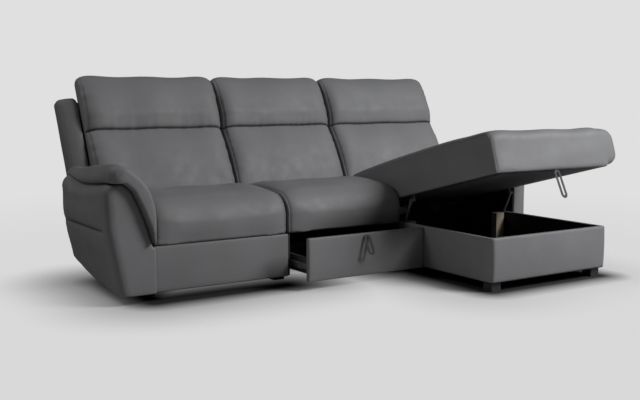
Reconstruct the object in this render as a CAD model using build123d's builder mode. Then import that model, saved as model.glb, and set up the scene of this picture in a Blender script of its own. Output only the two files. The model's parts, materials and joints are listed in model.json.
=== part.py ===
from build123d import *
import os
from math import atan2, cos, degrees, radians, sin, tan

# Chaise sofa in millimetres: +X runs along the sofa to the chaise, +Y to the back, +Z up.
# The origin is on the floor, below the middle of the width. The lid stands open and the drawer partly out.

# Layout
seat_width = 689.0
seat_depth = 530.0
arm_width = 231.0
chaise_width = 776.0
chaise_reach = 672.0
base_depth = 580.0
front_setback = 75.0
side_gap = 10.0
side_thickness = 90.0
side_height = 460.0
foot_height = 44.0
foot_size = 60.0
foot_edge = 5.0
chaise_foot_inset = 20.0
front_foot_setback = 120.0
base_top = 250.0

# Timber, skins and gaps
board = 18.0
skin = 3.0
padding = 8.0
padding_corner = 20.0
module_gap = 4.0
soft_gap = 0.3
rail_depth = 45.0
rail_height = 40.0
bottom_panel = 4.0

# Seat cushions: a lip hangs in front of the seat rail
lip_depth = 46.0
lip_gap = 4.0
lip_clearance = 2.0
seat_top = 453.0
seat_crown = 14.0
seat_roll_height = 115.0
seat_roll_depth = 95.0
seat_rear_gap = 30.0
seat_rear_drop = 5.0
seat_draw = 13.0
cushion_edge = 3.0
cushion_turn = 36.0
turn_fullness = 0.82
cushion_shoulder = 130.0
shoulder_fullness = 0.97
least_crown = 2.0

# Zig-zag springs under the seats
wire = 4.0
spring_count = 4
spring_loop_width = 46.0
spring_turn = 13.0

# Back, measured along its lean from the foot of the cushions and square to it, forwards
back_lean = 26.0
back_foot_height = 437.0
back_foot = -70.0
lumbar_height = 140.0
crease_height = 345.0
head_height = 475.0
head_top = 609.0
back_top = 630.0
top_arch = 18.0
lumbar_swell = 36.0
crease_swell = 32.0
crease_depth = 27.0
head_swell = 41.0
valley_swell = 3.0
foot_swell = 6.0
brow_arch = 14.0
brow_draw = 10.0
nape_rise = 5.0
nape_arch = 11.0
cushion_back = -71.2
web = 2.5
web_width = 50.0
web_count = 4
frame_depth = 38.0
upright = 30.0
upright_top = 560.0
lower_rail_height = 10.0
back_overlap = 61.0
back_right_inset = 13.0
rear_corner = 48.0

# Back wing above the arm
wing_width = 100.0
wing_low = 60.0
wing_high = 540.0
wing_front = -38.0
wing_draw = 24.0
wing_corner = 24.0
wing_gap = 2.0

# Arm profile, measured out from the seat side
arm_foot_out = 166.0
arm_knee_out = 225.0
arm_knee_height = 347.0
arm_shoulder_out = 196.0
arm_shoulder_height = 480.0
arm_pad_seat = 541.0
arm_shelf_out = 150.0
arm_front_reach = 24.0
arm_padding = 15.0
arm_front_padding = 48.0
arm_front_round = 40.0
arm_past_seat = 23.0
arm_rear_rise = 100.0
arm_hem_sag = 70.0
arm_rail = 30.0
arm_rail_inset = 24.0
arm_notch = 70.0
groove_height = 330.0
groove_size = 6.0
groove_ends = 70.0

# Arm pad: a pillow that runs over the arm and tapers down its seat side
pad_top = 624.0
pad_front_reach = 40.0
pad_overhang = 32.0
pad_heel_out = 206.0
pad_heel_bulge = 13.0
pad_rear_inset = 18.0
pad_rear_drop = 48.0
pad_draw = 24.0
pad_round = 80.0
pad_round_in = 26.0
pad_crest_out = 162.0
pad_slope_out = 104.0
pad_slope_drop = 29.0
pad_brow_out = 40.0
pad_brow_height = 525.0
pad_temple_out = 13.0
pad_temple_height = 455.0
pad_cheek_out = 2.0
pad_cheek_height = 380.0
pad_tip_out = 12.0
pad_tip_rise = 8.0
pad_bend_out = 54.0
pad_bend_height = 385.0
pad_neck_out = 112.0
pad_neck_drop = 32.0
pad_seam = 2.0

# Chaise box and lid
lid_angle = 14.3
hinge_back = 490.0
hinge_height = 262.0
lid_length = 1220.0
lid_thickness = 203.0
lid_crown = 14.0
lid_board = 15.0
lid_lip = 22.0
lid_roll = 42.0
lid_roll_height = 55.0
lid_draw = 12.0
lid_inset = 2.0
lid_side_board_gap = 14.0
lid_rear_gap = 40.0
lid_rear_rake = 20.0
lid_swell = 94.0
lid_swell_draw = 38.0
lid_swell_drop = 5.0
lid_swell_length = 560.0
lid_swell_low = 8.0
lid_swell_inset = 8.0
lid_swell_corner = 40.0
box_top = 256.0
box_hem = 4.0
cover_back = 40.0
floor_height = 62.0
floor_thickness = 8.0
dust_cloth = 2.0
dust_inset = 60.0
post_width = 56.0
post_depth = 40.0
post_front = 10.0
strut_slot = 18.0

# Lid hinges
hinge_length = 60.0
hinge_count = 3
hinge_spread = 250.0
knuckle_radius = 5.0
knuckle_gap = 0.5
hinge_pin_radius = 2.5
running_gap = 0.05
leaf = 2.5
leaf_reach = 45.0

# Lid struts
strut_foot_back = 100.0
strut_foot_height = 90.0
strut_head_reach = 532.0
strut_head_drop = 22.0
strut_pin_radius = 4.0
eye_radius = 10.0
eye_width = 14.0
head_play = 4.0
rod_radius = 4.0
rod_length = 180.0
cylinder_radius = 7.0
cylinder_length = 150.0
bracket = 3.0
bracket_size = 40.0
ear = 10.0

# Drawer
drawer_out = 180.0
drawer_front_gap = 1.0
drawer_length = 480.0
drawer_low = 71.0
drawer_high = 148.0
drawer_wall = 15.0
drawer_bottom = 5.0
drawer_bottom_rise = 4.0
runner_width = 13.0
runner_height = 35.0
runner_metal = 1.5
runner_gap = 0.3
runner_length = 450.0
runner_low = 90.0

# Pull loops
pull_width = 40.0
drawer_pull_length = 105.0
lid_pull_length = 146.0
pull_strand = 14.0
pull_strap = 2.2
drawer_pull_angle = 28.0
lid_pull_angle = 26.0
drawer_pull_across = 330.0
lid_pull_across = 393.0

# Places along X
total_width = arm_width + 2 * seat_width + chaise_width + side_gap + side_thickness
arm_inner = arm_width - total_width / 2
seat_split = arm_inner + seat_width
chaise_left = seat_split + seat_width
chaise_right = chaise_left + chaise_width
chaise_middle = chaise_left + chaise_width / 2
side_left = chaise_right + side_gap
side_right = side_left + side_thickness
base_right = chaise_left - module_gap

# Places along Y and Z
seat_front = -front_setback
base_rear = seat_front + base_depth
chaise_front = seat_front - chaise_reach
front_inside = seat_front + skin + board
rail_front = seat_front + lip_depth + lip_gap
rail_top = base_top + rail_height
deck_top = rail_top + wire
arm_depth = seat_depth + arm_past_seat
pad_rear = arm_depth + pad_overhang
pad_neck_height = arm_pad_seat - pad_neck_drop
back_foot_y = seat_front + seat_depth
frame_front = cushion_back - soft_gap - web
frame_back = frame_front - frame_depth

# Share of a rounded corner's width that its middle keeps
corner_middle = 1 - cos(radians(45))
# Turns at which a rounded edge is sectioned
round_steps = [radians(turn) for turn in (0, 30, 60, 90)]
lean_sin = sin(radians(back_lean))
lean_cos = cos(radians(back_lean))
up_the_back = (0, lean_sin, lean_cos)
back_plane = Plane(
    origin=(0, back_foot_y, back_foot_height), x_dir=(1, 0, 0), z_dir=(0, -lean_cos, lean_sin)
)
lid_sin = sin(radians(lid_angle))
lid_cos = cos(radians(lid_angle))
along_lid = (0, lid_cos, -lid_sin)
hinge_y = seat_front + hinge_back
lid_plane = Plane(
    origin=(0, hinge_y, hinge_height), x_dir=(1, 0, 0), z_dir=(0, lid_sin, lid_cos)
)
os.makedirs("parts", exist_ok=True)


def block(x_span, y_span, z_span, mode=Mode.ADD):
    spans = (x_span, y_span, z_span)
    with Locations(tuple(sum(span) / 2 for span in spans)):
        Box(*(high - low for low, high in spans), mode=mode)


def save(part, node):
    part.label = node
    export_step(part, f"parts/{node}.step")


def side_plane(x):
    return Plane(origin=(x, seat_front, 0), x_dir=(0, 1, 0), z_dir=(1, 0, 0))


def back_side_plane(x):
    return Plane(origin=(x, back_foot_y, back_foot_height), x_dir=up_the_back, z_dir=(1, 0, 0))


def lid_side_plane(x):
    return Plane(origin=(x, hinge_y, hinge_height), x_dir=along_lid, z_dir=(1, 0, 0))


def cushion_stations(left, right, edge):
    # Seven places across a cushion, with how full it is at each
    return [
        (left + edge, 0.0),
        (left + cushion_turn, turn_fullness),
        (left + cushion_shoulder, shoulder_fullness),
        ((left + right) / 2, 1.0),
        (right - cushion_shoulder, shoulder_fullness),
        (right - cushion_turn, turn_fullness),
        (right - edge, 0.0),
    ]


# Feet: black blocks under the boards
foot_inset = chaise_foot_inset + foot_size / 2
front_foot_y = front_inside + front_foot_setback + foot_size / 2
feet_places = [
    (arm_inner + foot_size / 2, front_foot_y),
    (arm_inner + foot_size / 2, base_rear - foot_size / 2),
    (seat_split + foot_size / 2, front_foot_y),
    (seat_split + foot_size / 2, base_rear - foot_size / 2),
    (chaise_left + foot_inset, chaise_front + foot_inset),
    (chaise_right - foot_inset, chaise_front + foot_inset),
    (chaise_left + foot_inset, base_rear - foot_size / 2),
    (chaise_right - foot_inset, base_rear - foot_size / 2),
]
with BuildPart() as feet:
    with Locations(*((x, y, foot_height / 2) for x, y in feet_places)):
        Box(foot_size, foot_size, foot_height)
    fillet(feet.edges().filter_by(Axis.Z), foot_edge)
save(feet.part, "feet")

# Base of the two seats
with BuildPart() as base_left_board:
    block((arm_inner, arm_inner + board), (front_inside, base_rear - board), (foot_height, base_top))
save(base_left_board.part, "base_left_board")

bay_left = seat_split + drawer_front_gap
bay_inner_left = bay_left + board
with BuildPart() as bay_left_board:
    block((bay_left, bay_inner_left), (front_inside, base_rear - board), (foot_height, base_top))
save(bay_left_board.part, "bay_left_board")

bay_inner_right = base_right - board
with BuildPart() as bay_right_board:
    block((bay_inner_right, base_right), (front_inside, base_rear - board), (foot_height, base_top))
save(bay_right_board.part, "bay_right_board")

with BuildPart() as base_rear_board:
    block((arm_inner, base_right), (base_rear - board, base_rear), (foot_height, rail_top))
save(base_rear_board.part, "base_rear_board")

with BuildPart() as base_bottom_panel:
    block(
        (arm_inner + board, bay_left),
        (front_inside, base_rear - board),
        (foot_height, foot_height + bottom_panel),
    )
save(base_bottom_panel.part, "base_bottom_panel")

with BuildPart() as seat_front_rail:
    block((arm_inner, base_right), (rail_front, rail_front + rail_depth), (base_top, rail_top))
save(seat_front_rail.part, "seat_front_rail")

rear_rail_front = base_rear - board - rail_depth
with BuildPart() as seat_rear_rail:
    block((arm_inner, base_right), (rear_rail_front, base_rear - board), (base_top, rail_top))
save(seat_rear_rail.part, "seat_rear_rail")

# Fixed front panel under the left seat: a board in a leather wrap
front_right = seat_split - drawer_front_gap
with BuildPart() as front_board:
    block(
        (arm_inner, front_right - skin),
        (seat_front + skin, front_inside),
        (foot_height + skin, base_top - skin),
    )
save(front_board.part, "front_board")

with BuildPart() as front_cover:
    block((arm_inner, front_right), (seat_front, front_inside), (foot_height, base_top))
    block(
        (arm_inner, front_right - skin),
        (seat_front + skin, front_inside),
        (foot_height + skin, base_top - skin),
        mode=Mode.SUBTRACT,
    )
save(front_cover.part, "front_cover")

# Zig-zag springs lie across the two seat rails
spring_start = rail_front + rail_depth / 2
spring_end = rear_rail_front + rail_depth / 2
spring_turns = int((spring_end - spring_start) / (2 * spring_turn))
spring_half = spring_loop_width / 2 - spring_turn
with BuildPart() as one_spring:
    with BuildLine(Plane.XY.offset(rail_top + wire / 2)) as spring_path:
        Line((0, spring_start), (spring_half, spring_start))
        for turn in range(spring_turns):
            side = 1 if turn % 2 == 0 else -1
            low = spring_start + 2 * spring_turn * turn
            high = low + 2 * spring_turn
            ThreePointArc(
                (side * spring_half, low),
                (side * (spring_half + spring_turn), low + spring_turn),
                (side * spring_half, high),
            )
            Line((side * spring_half, high), (-side * spring_half, high))
    with BuildSketch(Plane(origin=spring_path.line @ 0, z_dir=spring_path.line % 0)):
        Circle(wire / 2)
    sweep()

seat_pitch = seat_width / spring_count
spring_places = [arm_inner + seat_pitch * (index + 0.5) for index in range(2 * spring_count)]
with BuildPart() as seat_springs:
    with Locations(*((x, 0, 0) for x in spring_places)):
        add(one_spring.part)
save(seat_springs.part, "seat_springs")


# Seat cushions
def seat_section(x, fullness):
    draw = (1 - fullness) * seat_draw
    top = seat_top - draw
    lip_low = base_top + lip_clearance
    rear_top = top - seat_rear_drop
    rear = seat_depth - seat_rear_gap
    under = deck_top + soft_gap
    rear_low = rear - (rear_top - under) * tan(radians(back_lean))
    with BuildSketch(side_plane(x)) as section:
        with BuildLine():
            Polyline(
                (lip_depth, under), (lip_depth, lip_low), (draw, lip_low), (draw, top - seat_roll_height)
            )
            ThreePointArc(
                (draw, top - seat_roll_height),
                (draw + corner_middle * seat_roll_depth, top - corner_middle * seat_roll_height),
                (draw + seat_roll_depth, top),
            )
            ThreePointArc(
                (draw + seat_roll_depth, top),
                ((draw + seat_roll_depth + rear) / 2, top + least_crown + seat_crown * fullness),
                (rear, rear_top),
            )
            Polyline((rear, rear_top), (rear_low, under), (lip_depth, under))
        make_face()
    return section.sketch


seat_spans = {
    "seat_cushion_left": (arm_inner, seat_split),
    "seat_cushion_middle": (seat_split, chaise_left),
}
for node, (left, right) in seat_spans.items():
    seat_sections = [seat_section(x, full) for x, full in cushion_stations(left, right, cushion_edge)]
    with BuildPart() as seat_cushion:
        loft(sections=seat_sections)
    save(seat_cushion.part, node)

# Back frame: uprights on the rear rails, rails between and over them
back_left = arm_inner - back_overlap
back_right = chaise_right - back_right_inset
upright_lefts = [
    arm_inner,
    seat_split - upright / 2,
    base_right - upright,
    chaise_right - padding - board - upright,
]


def back_point(along, forward):
    # A place on the leaning back as (Y from the seat fronts, Z)
    return (
        seat_depth + along * lean_sin - forward * lean_cos,
        back_foot_height + along * lean_cos + forward * lean_sin,
    )


def back_drop(forward, height):
    # How far along the back a line at this depth crosses a height
    return (height - back_foot_height - forward * lean_sin) / lean_cos


with BuildPart() as back_uprights:
    for left in upright_lefts:
        with BuildSketch(side_plane(left)):
            with BuildLine():
                Polyline(
                    back_point(back_drop(frame_front, rail_top), frame_front),
                    back_point(upright_top, frame_front),
                    back_point(upright_top, frame_back),
                    back_point(back_drop(frame_back, rail_top), frame_back),
                    close=True,
                )
            make_face()
        extrude(amount=upright)
save(back_uprights.part, "back_uprights")


def back_block(x_span, along_span, forward_span, mode=Mode.ADD):
    spans = (x_span, along_span, forward_span)
    with Locations(back_plane.location * Location(tuple(sum(span) / 2 for span in spans))):
        Box(*(high - low for low, high in spans), mode=mode)


with BuildPart() as back_top_rail:
    back_block((arm_inner, back_right), (upright_top, upright_top + rail_height), (frame_back, frame_front))
save(back_top_rail.part, "back_top_rail")

rail_starts = [back_left] + [left + upright for left in upright_lefts]
rail_ends = upright_lefts + [back_right]
with BuildPart() as back_lower_rails:
    for start, end in zip(rail_starts, rail_ends):
        back_block(
            (start, end), (lower_rail_height, lower_rail_height + rail_height), (frame_back, frame_front)
        )
save(back_lower_rails.part, "back_lower_rails")

back_spans = {
    "back_cushion_left": (back_left, seat_split),
    "back_cushion_middle": (seat_split, chaise_left),
    "back_cushion_right": (chaise_left, back_right),
}
with BuildPart() as back_webbing:
    for left, right in back_spans.values():
        pitch = (right - left) / web_count
        for index in range(web_count):
            middle = left + pitch * (index + 0.5)
            back_block(
                (middle - web_width / 2, middle + web_width / 2),
                (lower_rail_height, upright_top + rail_height),
                (frame_front, frame_front + web),
            )
save(back_webbing.part, "back_webbing")


# Rear cover: a skin over the rear boards that bends to the lean of the back
def rear_line(offset):
    lift = frame_back - offset
    bend = (base_depth + offset - seat_depth + lift * lean_cos) / lean_sin
    return [
        (base_depth + offset, foot_height + skin),
        back_point(bend, lift),
        back_point(upright_top + rail_height, lift),
    ]


with BuildPart() as back_rear_cover:
    inner_line = rear_line(0)
    outer_line = rear_line(skin)
    with BuildSketch(side_plane(arm_inner)):
        with BuildLine():
            Polyline(*inner_line[:2], *reversed(outer_line[:2]), close=True)
        make_face()
    extrude(amount=chaise_right - padding - arm_inner)
    with BuildSketch(side_plane(back_left)):
        with BuildLine():
            Polyline(*inner_line[1:], *reversed(outer_line[1:]), close=True)
        make_face()
    extrude(amount=back_right - back_left)
    back_block(
        (back_left, back_left + rear_corner),
        (wing_high, back_top),
        (frame_back - 2 * skin, frame_back),
        mode=Mode.SUBTRACT,
    )
save(back_rear_cover.part, "back_rear_cover")


# Back cushions: lumbar roll, sewn crease and head roll
def back_section(x, fullness):
    lumbar = valley_swell + lumbar_swell * fullness
    crease = crease_swell * fullness - crease_depth
    head = valley_swell + head_swell * fullness
    brow = (head_top + brow_arch * fullness, valley_swell - brow_draw * (1 - fullness))
    nape = (head_top + nape_rise + nape_arch * fullness, cushion_back)
    foot_front = (back_foot, foot_swell * fullness)
    with BuildSketch(back_side_plane(x)) as section:
        with BuildLine():
            ThreePointArc(foot_front, (lumbar_height, lumbar), (crease_height, crease))
            ThreePointArc((crease_height, crease), (head_height, head), brow)
            ThreePointArc(brow, (back_top + top_arch * fullness, cushion_back / 2), nape)
            Polyline(nape, (back_foot, cushion_back), foot_front)
        make_face()
    return section.sketch


for node, (left, right) in back_spans.items():
    back_sections = [back_section(x, full) for x, full in cushion_stations(left, right, cushion_edge)]
    with BuildPart() as back_cushion:
        loft(sections=back_sections)
    save(back_cushion.part, node)

# Back wing: a board on the ends of the back rails inside a pad
wing_board_span = (back_left - board, back_left)
wing_board_along = (lower_rail_height, upright_top - rail_height)
wing_board_forward = (frame_back, wing_front - wing_draw)
with BuildPart() as wing_board:
    back_block(wing_board_span, wing_board_along, wing_board_forward)
save(wing_board.part, "wing_board")

wing_left = back_left - wing_width
wing_right = back_left - wing_gap


def wing_section(forward, draw):
    # The outer side and the top draw in towards the front, the side by the cushion stays
    left = wing_left + draw
    high = wing_high - draw
    with BuildSketch(back_plane.offset(forward)) as section:
        with Locations(((left + wing_right) / 2, (wing_low + high) / 2)):
            RectangleRounded(wing_right - left, high - wing_low, wing_corner)
    return section.sketch


wing_sections = [
    wing_section(frame_back, 0),
    wing_section(wing_front - wing_draw, 0),
    wing_section(wing_front - wing_draw * corner_middle, wing_draw * corner_middle),
    wing_section(wing_front, wing_draw),
]
with BuildPart() as wing_pad:
    loft(sections=wing_sections, ruled=True)
    back_block(wing_board_span, wing_board_along, wing_board_forward, mode=Mode.SUBTRACT)
save(wing_pad.part, "wing_pad")


# Left arm: plywood ends, rails, covers and the pillow pad. Places are measured out from the seat side.
def arm_plane(back):
    # Local x runs out from the seat, local y runs up, and the plane faces forwards
    return Plane(origin=(arm_inner, seat_front + back, 0), x_dir=(1, 0, 0), z_dir=(0, -1, 0))


def arm_outer_points(inset, top):
    # Corners of the arm's outer side, from the shoulder down to the hem
    shoulder = (inset - arm_shoulder_out, top)
    side = (inset - arm_width, arm_shoulder_height)
    round_middle = (
        side[0] + corner_middle * (shoulder[0] - side[0]),
        side[1] + (1 - corner_middle) * (shoulder[1] - side[1]),
    )
    knee = (inset - arm_knee_out, arm_knee_height)
    foot = (inset - arm_foot_out, foot_height)
    return shoulder, round_middle, side, knee, foot


def arm_face(back, outer_inset, inner_inset, top):
    # The arm below its pad: rounded shoulder outside, and the pad's lower edge on the seat side
    shoulder, round_middle, side, knee, foot = arm_outer_points(outer_inset, top)
    seam = pad_seam + inner_inset
    tip = (-pad_tip_out - seam, base_top)
    neck = (-pad_neck_out - seam, pad_neck_height)
    with BuildSketch(arm_plane(back)) as section:
        with BuildLine():
            Line((-arm_shelf_out - seam, top), shoulder)
            ThreePointArc(shoulder, round_middle, side)
            Polyline(side, knee, foot, (0, foot_height), (0, base_top), tip)
            ThreePointArc(tip, (-pad_bend_out - seam, pad_bend_height), neck)
            Line(neck, (-arm_shelf_out - seam, top))
        make_face()
    return section.sketch


arm_front = seat_front - arm_front_reach
arm_back = seat_front + arm_depth
arm_seat_line = arm_pad_seat - soft_gap
front_cover_back = arm_front_padding - arm_front_reach
front_cover_top = arm_pad_seat - lip_gap
front_cover_sections = [arm_face(front_cover_back, 0, 0, front_cover_top)]
for step in round_steps:
    front_cover_sections.append(
        arm_face(
            arm_front_round * (1 - sin(step)) - arm_front_reach,
            arm_front_round * (1 - cos(step)),
            0,
            front_cover_top,
        )
    )
with BuildPart() as arm_front_cover:
    loft(sections=front_cover_sections, ruled=True)
save(arm_front_cover.part, "arm_front_cover")

with BuildPart() as arm_front_board:
    extrude(arm_face(front_cover_back + board, arm_padding, padding, arm_seat_line), amount=board)
save(arm_front_board.part, "arm_front_board")

# The rear end leaves room for the back cushion that overhangs the arm
with BuildPart() as arm_rear_board:
    extrude(arm_face(arm_depth, arm_padding, padding, arm_seat_line), amount=board)
    block(
        (arm_inner - arm_notch, arm_inner),
        (arm_back - board, arm_back),
        (base_top, pad_top),
        mode=Mode.SUBTRACT,
    )
    block(
        (arm_inner - arm_width, arm_inner),
        (arm_back - board, arm_back),
        (foot_height, foot_height + arm_rear_rise),
        mode=Mode.SUBTRACT,
    )
save(arm_rear_board.part, "arm_rear_board")

arm_rail_span = (arm_front + arm_front_padding + board, arm_back - board)
arm_rail_left = arm_inner - arm_knee_out + arm_rail_inset
top_rail_left = arm_inner - arm_shoulder_out + arm_padding
with BuildPart() as arm_rails:
    block(
        (arm_inner - board, arm_inner),
        arm_rail_span,
        (foot_height + arm_rear_rise, base_top - padding),
    )
    block(
        (arm_rail_left, arm_rail_left + arm_rail),
        arm_rail_span,
        (arm_knee_height, arm_knee_height + rail_height),
    )
    block(
        (top_rail_left, top_rail_left + arm_rail),
        arm_rail_span,
        (arm_seat_line - rail_height, arm_seat_line),
    )
save(arm_rails.part, "arm_rails")

with BuildPart() as arm_outer_cover:
    outer = arm_outer_points(0, arm_seat_line)
    inner = arm_outer_points(arm_padding, arm_seat_line)
    with BuildSketch(arm_plane(arm_depth)):
        with BuildLine():
            ThreePointArc(*outer[:3])
            Polyline(*outer[2:], *reversed(inner[2:]))
            ThreePointArc(*reversed(inner[:3]))
            Line(inner[0], outer[0])
        make_face()
    extrude(amount=arm_depth - front_cover_back)
    with BuildSketch(side_plane(arm_inner - arm_width)):
        with BuildLine():
            hem_start = (front_cover_back, foot_height)
            hem_end = (arm_depth, foot_height + arm_rear_rise)
            hem_middle = (
                (hem_start[0] + hem_end[0]) / 2,
                foot_height + arm_rear_rise - arm_hem_sag,
            )
            ThreePointArc(hem_start, hem_middle, hem_end)
            Polyline(hem_end, (hem_end[0], 0), (hem_start[0], 0), hem_start)
        make_face()
    extrude(amount=arm_width, mode=Mode.SUBTRACT)
    block(
        (arm_inner - arm_width, arm_inner - arm_knee_out + groove_size),
        (seat_front + groove_ends, arm_back - groove_ends),
        (groove_height, groove_height + groove_size),
        mode=Mode.SUBTRACT,
    )
save(arm_outer_cover.part, "arm_outer_cover")


# The pad lies on the arm's top and tapers down the inner front edge to the seat seam
def pad_section(back, draw, drop, inset):
    top = pad_top - draw - drop
    heel = (draw + inset - pad_heel_out, arm_pad_seat)
    crest = (inset - pad_crest_out, top)
    heel_middle = (heel[0] - pad_heel_bulge, (arm_pad_seat + top) / 2)
    brow = (-pad_brow_out, pad_brow_height - draw - drop / 2)
    cheek = (-pad_cheek_out - draw / 2, pad_cheek_height)
    temple = (-pad_temple_out - draw / 2, pad_temple_height)
    tip = (-pad_tip_out, base_top + pad_tip_rise)
    neck = (-pad_neck_out, pad_neck_height)
    with BuildSketch(arm_plane(back)) as section:
        with BuildLine():
            ThreePointArc(heel, heel_middle, crest)
            ThreePointArc(crest, (-pad_slope_out, top - pad_slope_drop), brow)
            ThreePointArc(brow, temple, cheek)
            Line(cheek, tip)
            ThreePointArc(tip, (-pad_bend_out, pad_bend_height), neck)
            Polyline(neck, (-arm_shelf_out, arm_pad_seat), heel)
        make_face()
    return section.sketch


pad_front = -arm_front_reach - pad_front_reach
pad_sections = [
    pad_section(
        pad_front + pad_round * (1 - sin(step)),
        pad_draw * (1 - cos(step)),
        0,
        pad_round_in * (1 - cos(step)),
    )
    for step in reversed(round_steps)
]
pad_sections += [
    pad_section(arm_depth / 2, 0, pad_rear_drop / 6, pad_rear_inset / 3),
    pad_section(arm_depth, pad_draw / 4, 2 * pad_rear_drop / 3, pad_rear_inset),
    pad_section(pad_rear, pad_draw, pad_rear_drop, pad_rear_inset),
]
with BuildPart() as arm_pad:
    loft(sections=pad_sections, ruled=True)
    back_block(
        (back_left - lip_gap, arm_inner + lip_gap),
        (2 * back_foot, back_top),
        (-arm_depth, head_swell + lip_gap),
        mode=Mode.SUBTRACT,
    )
    back_block(
        (wing_left - lip_gap, back_left),
        (2 * back_foot, back_top),
        (-arm_depth, wing_front + lip_gap),
        mode=Mode.SUBTRACT,
    )
save(arm_pad.part, "arm_pad")

# Chaise box
box_left = chaise_left + padding
box_right = chaise_right - padding
inside_left = box_left + board
inside_right = box_right - board
inside_front = chaise_front + padding + board
board_top = box_top - box_hem
bulkhead_front = hinge_y + knuckle_radius + leaf
for node, left in (("chaise_left_board", box_left), ("chaise_right_board", inside_right)):
    with BuildPart() as chaise_side_board:
        block((left, left + board), (inside_front, base_rear - board), (foot_height, board_top))
    save(chaise_side_board.part, node)

with BuildPart() as chaise_front_board:
    block((box_left, box_right), (chaise_front + padding, inside_front), (foot_height, board_top))
save(chaise_front_board.part, "chaise_front_board")

with BuildPart() as chaise_rear_board:
    block((box_left, box_right), (base_rear - board, base_rear), (foot_height, rail_top))
save(chaise_rear_board.part, "chaise_rear_board")

with BuildPart() as chaise_bulkhead:
    block(
        (inside_left, inside_right), (bulkhead_front, bulkhead_front + board), (floor_height, hinge_height)
    )
save(chaise_bulkhead.part, "chaise_bulkhead")

with BuildPart() as chaise_back_rail:
    block(
        (inside_left, inside_right), (bulkhead_front + board, base_rear - board), (base_top, rail_top)
    )
save(chaise_back_rail.part, "chaise_back_rail")

floor_top = floor_height + floor_thickness
with BuildPart() as chaise_floor:
    block((inside_left, inside_right), (inside_front, bulkhead_front), (floor_height, floor_top))
save(chaise_floor.part, "chaise_floor")

# Padded leather wrap around three sides of the box, hemmed over the top of the boards
cover_end = seat_front + cover_back
with BuildPart() as chaise_cover:
    block((chaise_left, chaise_right), (chaise_front, cover_end), (foot_height, box_top))
    fillet(chaise_cover.edges().filter_by(Axis.Z).group_by(Axis.Y)[0], padding_corner)
    block(
        (box_left, box_right),
        (chaise_front + padding, cover_end),
        (foot_height, board_top),
        mode=Mode.SUBTRACT,
    )
    block(
        (inside_left, inside_right), (inside_front, cover_end), (board_top, box_top), mode=Mode.SUBTRACT
    )
save(chaise_cover.part, "chaise_cover")

# Timber posts in the rear corners, with room for the struts between post and board
post_span = (seat_front + post_front, seat_front + post_front + post_depth)
with BuildPart() as strut_posts:
    for left in (inside_left + strut_slot, inside_right - strut_slot - post_width):
        block((left, left + post_width), post_span, (floor_top, board_top))
save(strut_posts.part, "strut_posts")

# Blocks that hold the seat base, the chaise and the side panel together
spacer_places = [seat_front + 2 * foot_size, base_rear - 2 * foot_size]
with BuildPart() as module_spacers:
    for left, right in ((base_right, box_left), (box_right, side_left)):
        for back in spacer_places:
            block((left, right), (back, back + foot_size), (base_top - 2 * foot_size, base_top - foot_size))
save(module_spacers.part, "module_spacers")

# Low padded panel at the right side
with BuildPart() as side_panel_board:
    block(
        (side_left, side_left + board),
        (seat_front, base_rear),
        (foot_height, side_height - 2 * padding),
    )
save(side_panel_board.part, "side_panel_board")

with BuildPart() as side_panel_cover:
    block((side_left, side_right), (seat_front - padding, base_rear + padding), (foot_height, side_height))
    fillet(side_panel_cover.edges().group_by(Axis.X)[-1], padding)
    block(
        (side_left, side_left + board),
        (seat_front, base_rear),
        (foot_height, side_height - 2 * padding),
        mode=Mode.SUBTRACT,
    )
save(side_panel_cover.part, "side_panel_cover")

# Lid hinges: the fixed leaf carries the pin, the moving leaf turns on it
hinge_middles = [
    chaise_middle + hinge_spread * (index - (hinge_count - 1) / 2) for index in range(hinge_count)
]
knuckle = hinge_length / 3


def hinge_round(x_span, radius, mode=Mode.ADD):
    with Locations(Location((sum(x_span) / 2, hinge_y, hinge_height), (0, 90, 0))):
        Cylinder(radius, x_span[1] - x_span[0], mode=mode)


with BuildPart() as hinge_fixed_leaves:
    for middle in hinge_middles:
        left = middle - hinge_length / 2
        right = middle + hinge_length / 2
        block((left, right), (hinge_y + leaf, bulkhead_front), (hinge_height - leaf_reach, hinge_height))
        hinge_round((left, left + knuckle), knuckle_radius)
        hinge_round((right - knuckle, right), knuckle_radius)
        hinge_round((left + knuckle, right - knuckle), knuckle_radius + knuckle_gap, mode=Mode.SUBTRACT)
        hinge_round((left, right), hinge_pin_radius)
save(hinge_fixed_leaves.part, "hinge_fixed_leaves")


def lid_block(x_span, along_span, up_span, mode=Mode.ADD):
    spans = (x_span, along_span, up_span)
    with Locations(lid_plane.location * Location(tuple(sum(span) / 2 for span in spans))):
        Box(*(high - low for low, high in spans), mode=mode)


with BuildPart() as hinge_moving_leaves:
    for middle in hinge_middles:
        left = middle - hinge_length / 2
        right = middle + hinge_length / 2
        inner = (left + knuckle + knuckle_gap, right - knuckle - knuckle_gap)
        lid_block((left, right), (-leaf_reach, 0), (-leaf, 0))
        hinge_round((left, right), knuckle_radius + knuckle_gap, mode=Mode.SUBTRACT)
        hinge_round(inner, knuckle_radius)
        lid_block(inner, (-2 * knuckle_radius, 0), (-leaf, 0))
        hinge_round(inner, hinge_pin_radius + running_gap, mode=Mode.SUBTRACT)
save(hinge_moving_leaves.part, "hinge_moving_leaves")

# Lid: board, dust cloth and a cushion whose lip covers the front edge of the board
lid_board_front = lid_lip - lid_length
lid_board_rear = -3 * knuckle_radius
lid_board_span = (chaise_left + lid_side_board_gap, chaise_right - lid_side_board_gap)
with BuildPart() as lid_panel:
    lid_block(lid_board_span, (lid_board_front, lid_board_rear), (0, lid_board))
save(lid_panel.part, "lid_board")

with BuildPart() as lid_dust_cloth:
    lid_block(
        (chaise_left + dust_inset, chaise_right - dust_inset),
        (lid_board_front + lid_lip, -leaf_reach - lid_lip),
        (-dust_cloth, 0),
    )
save(lid_dust_cloth.part, "lid_dust_cloth")


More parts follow.
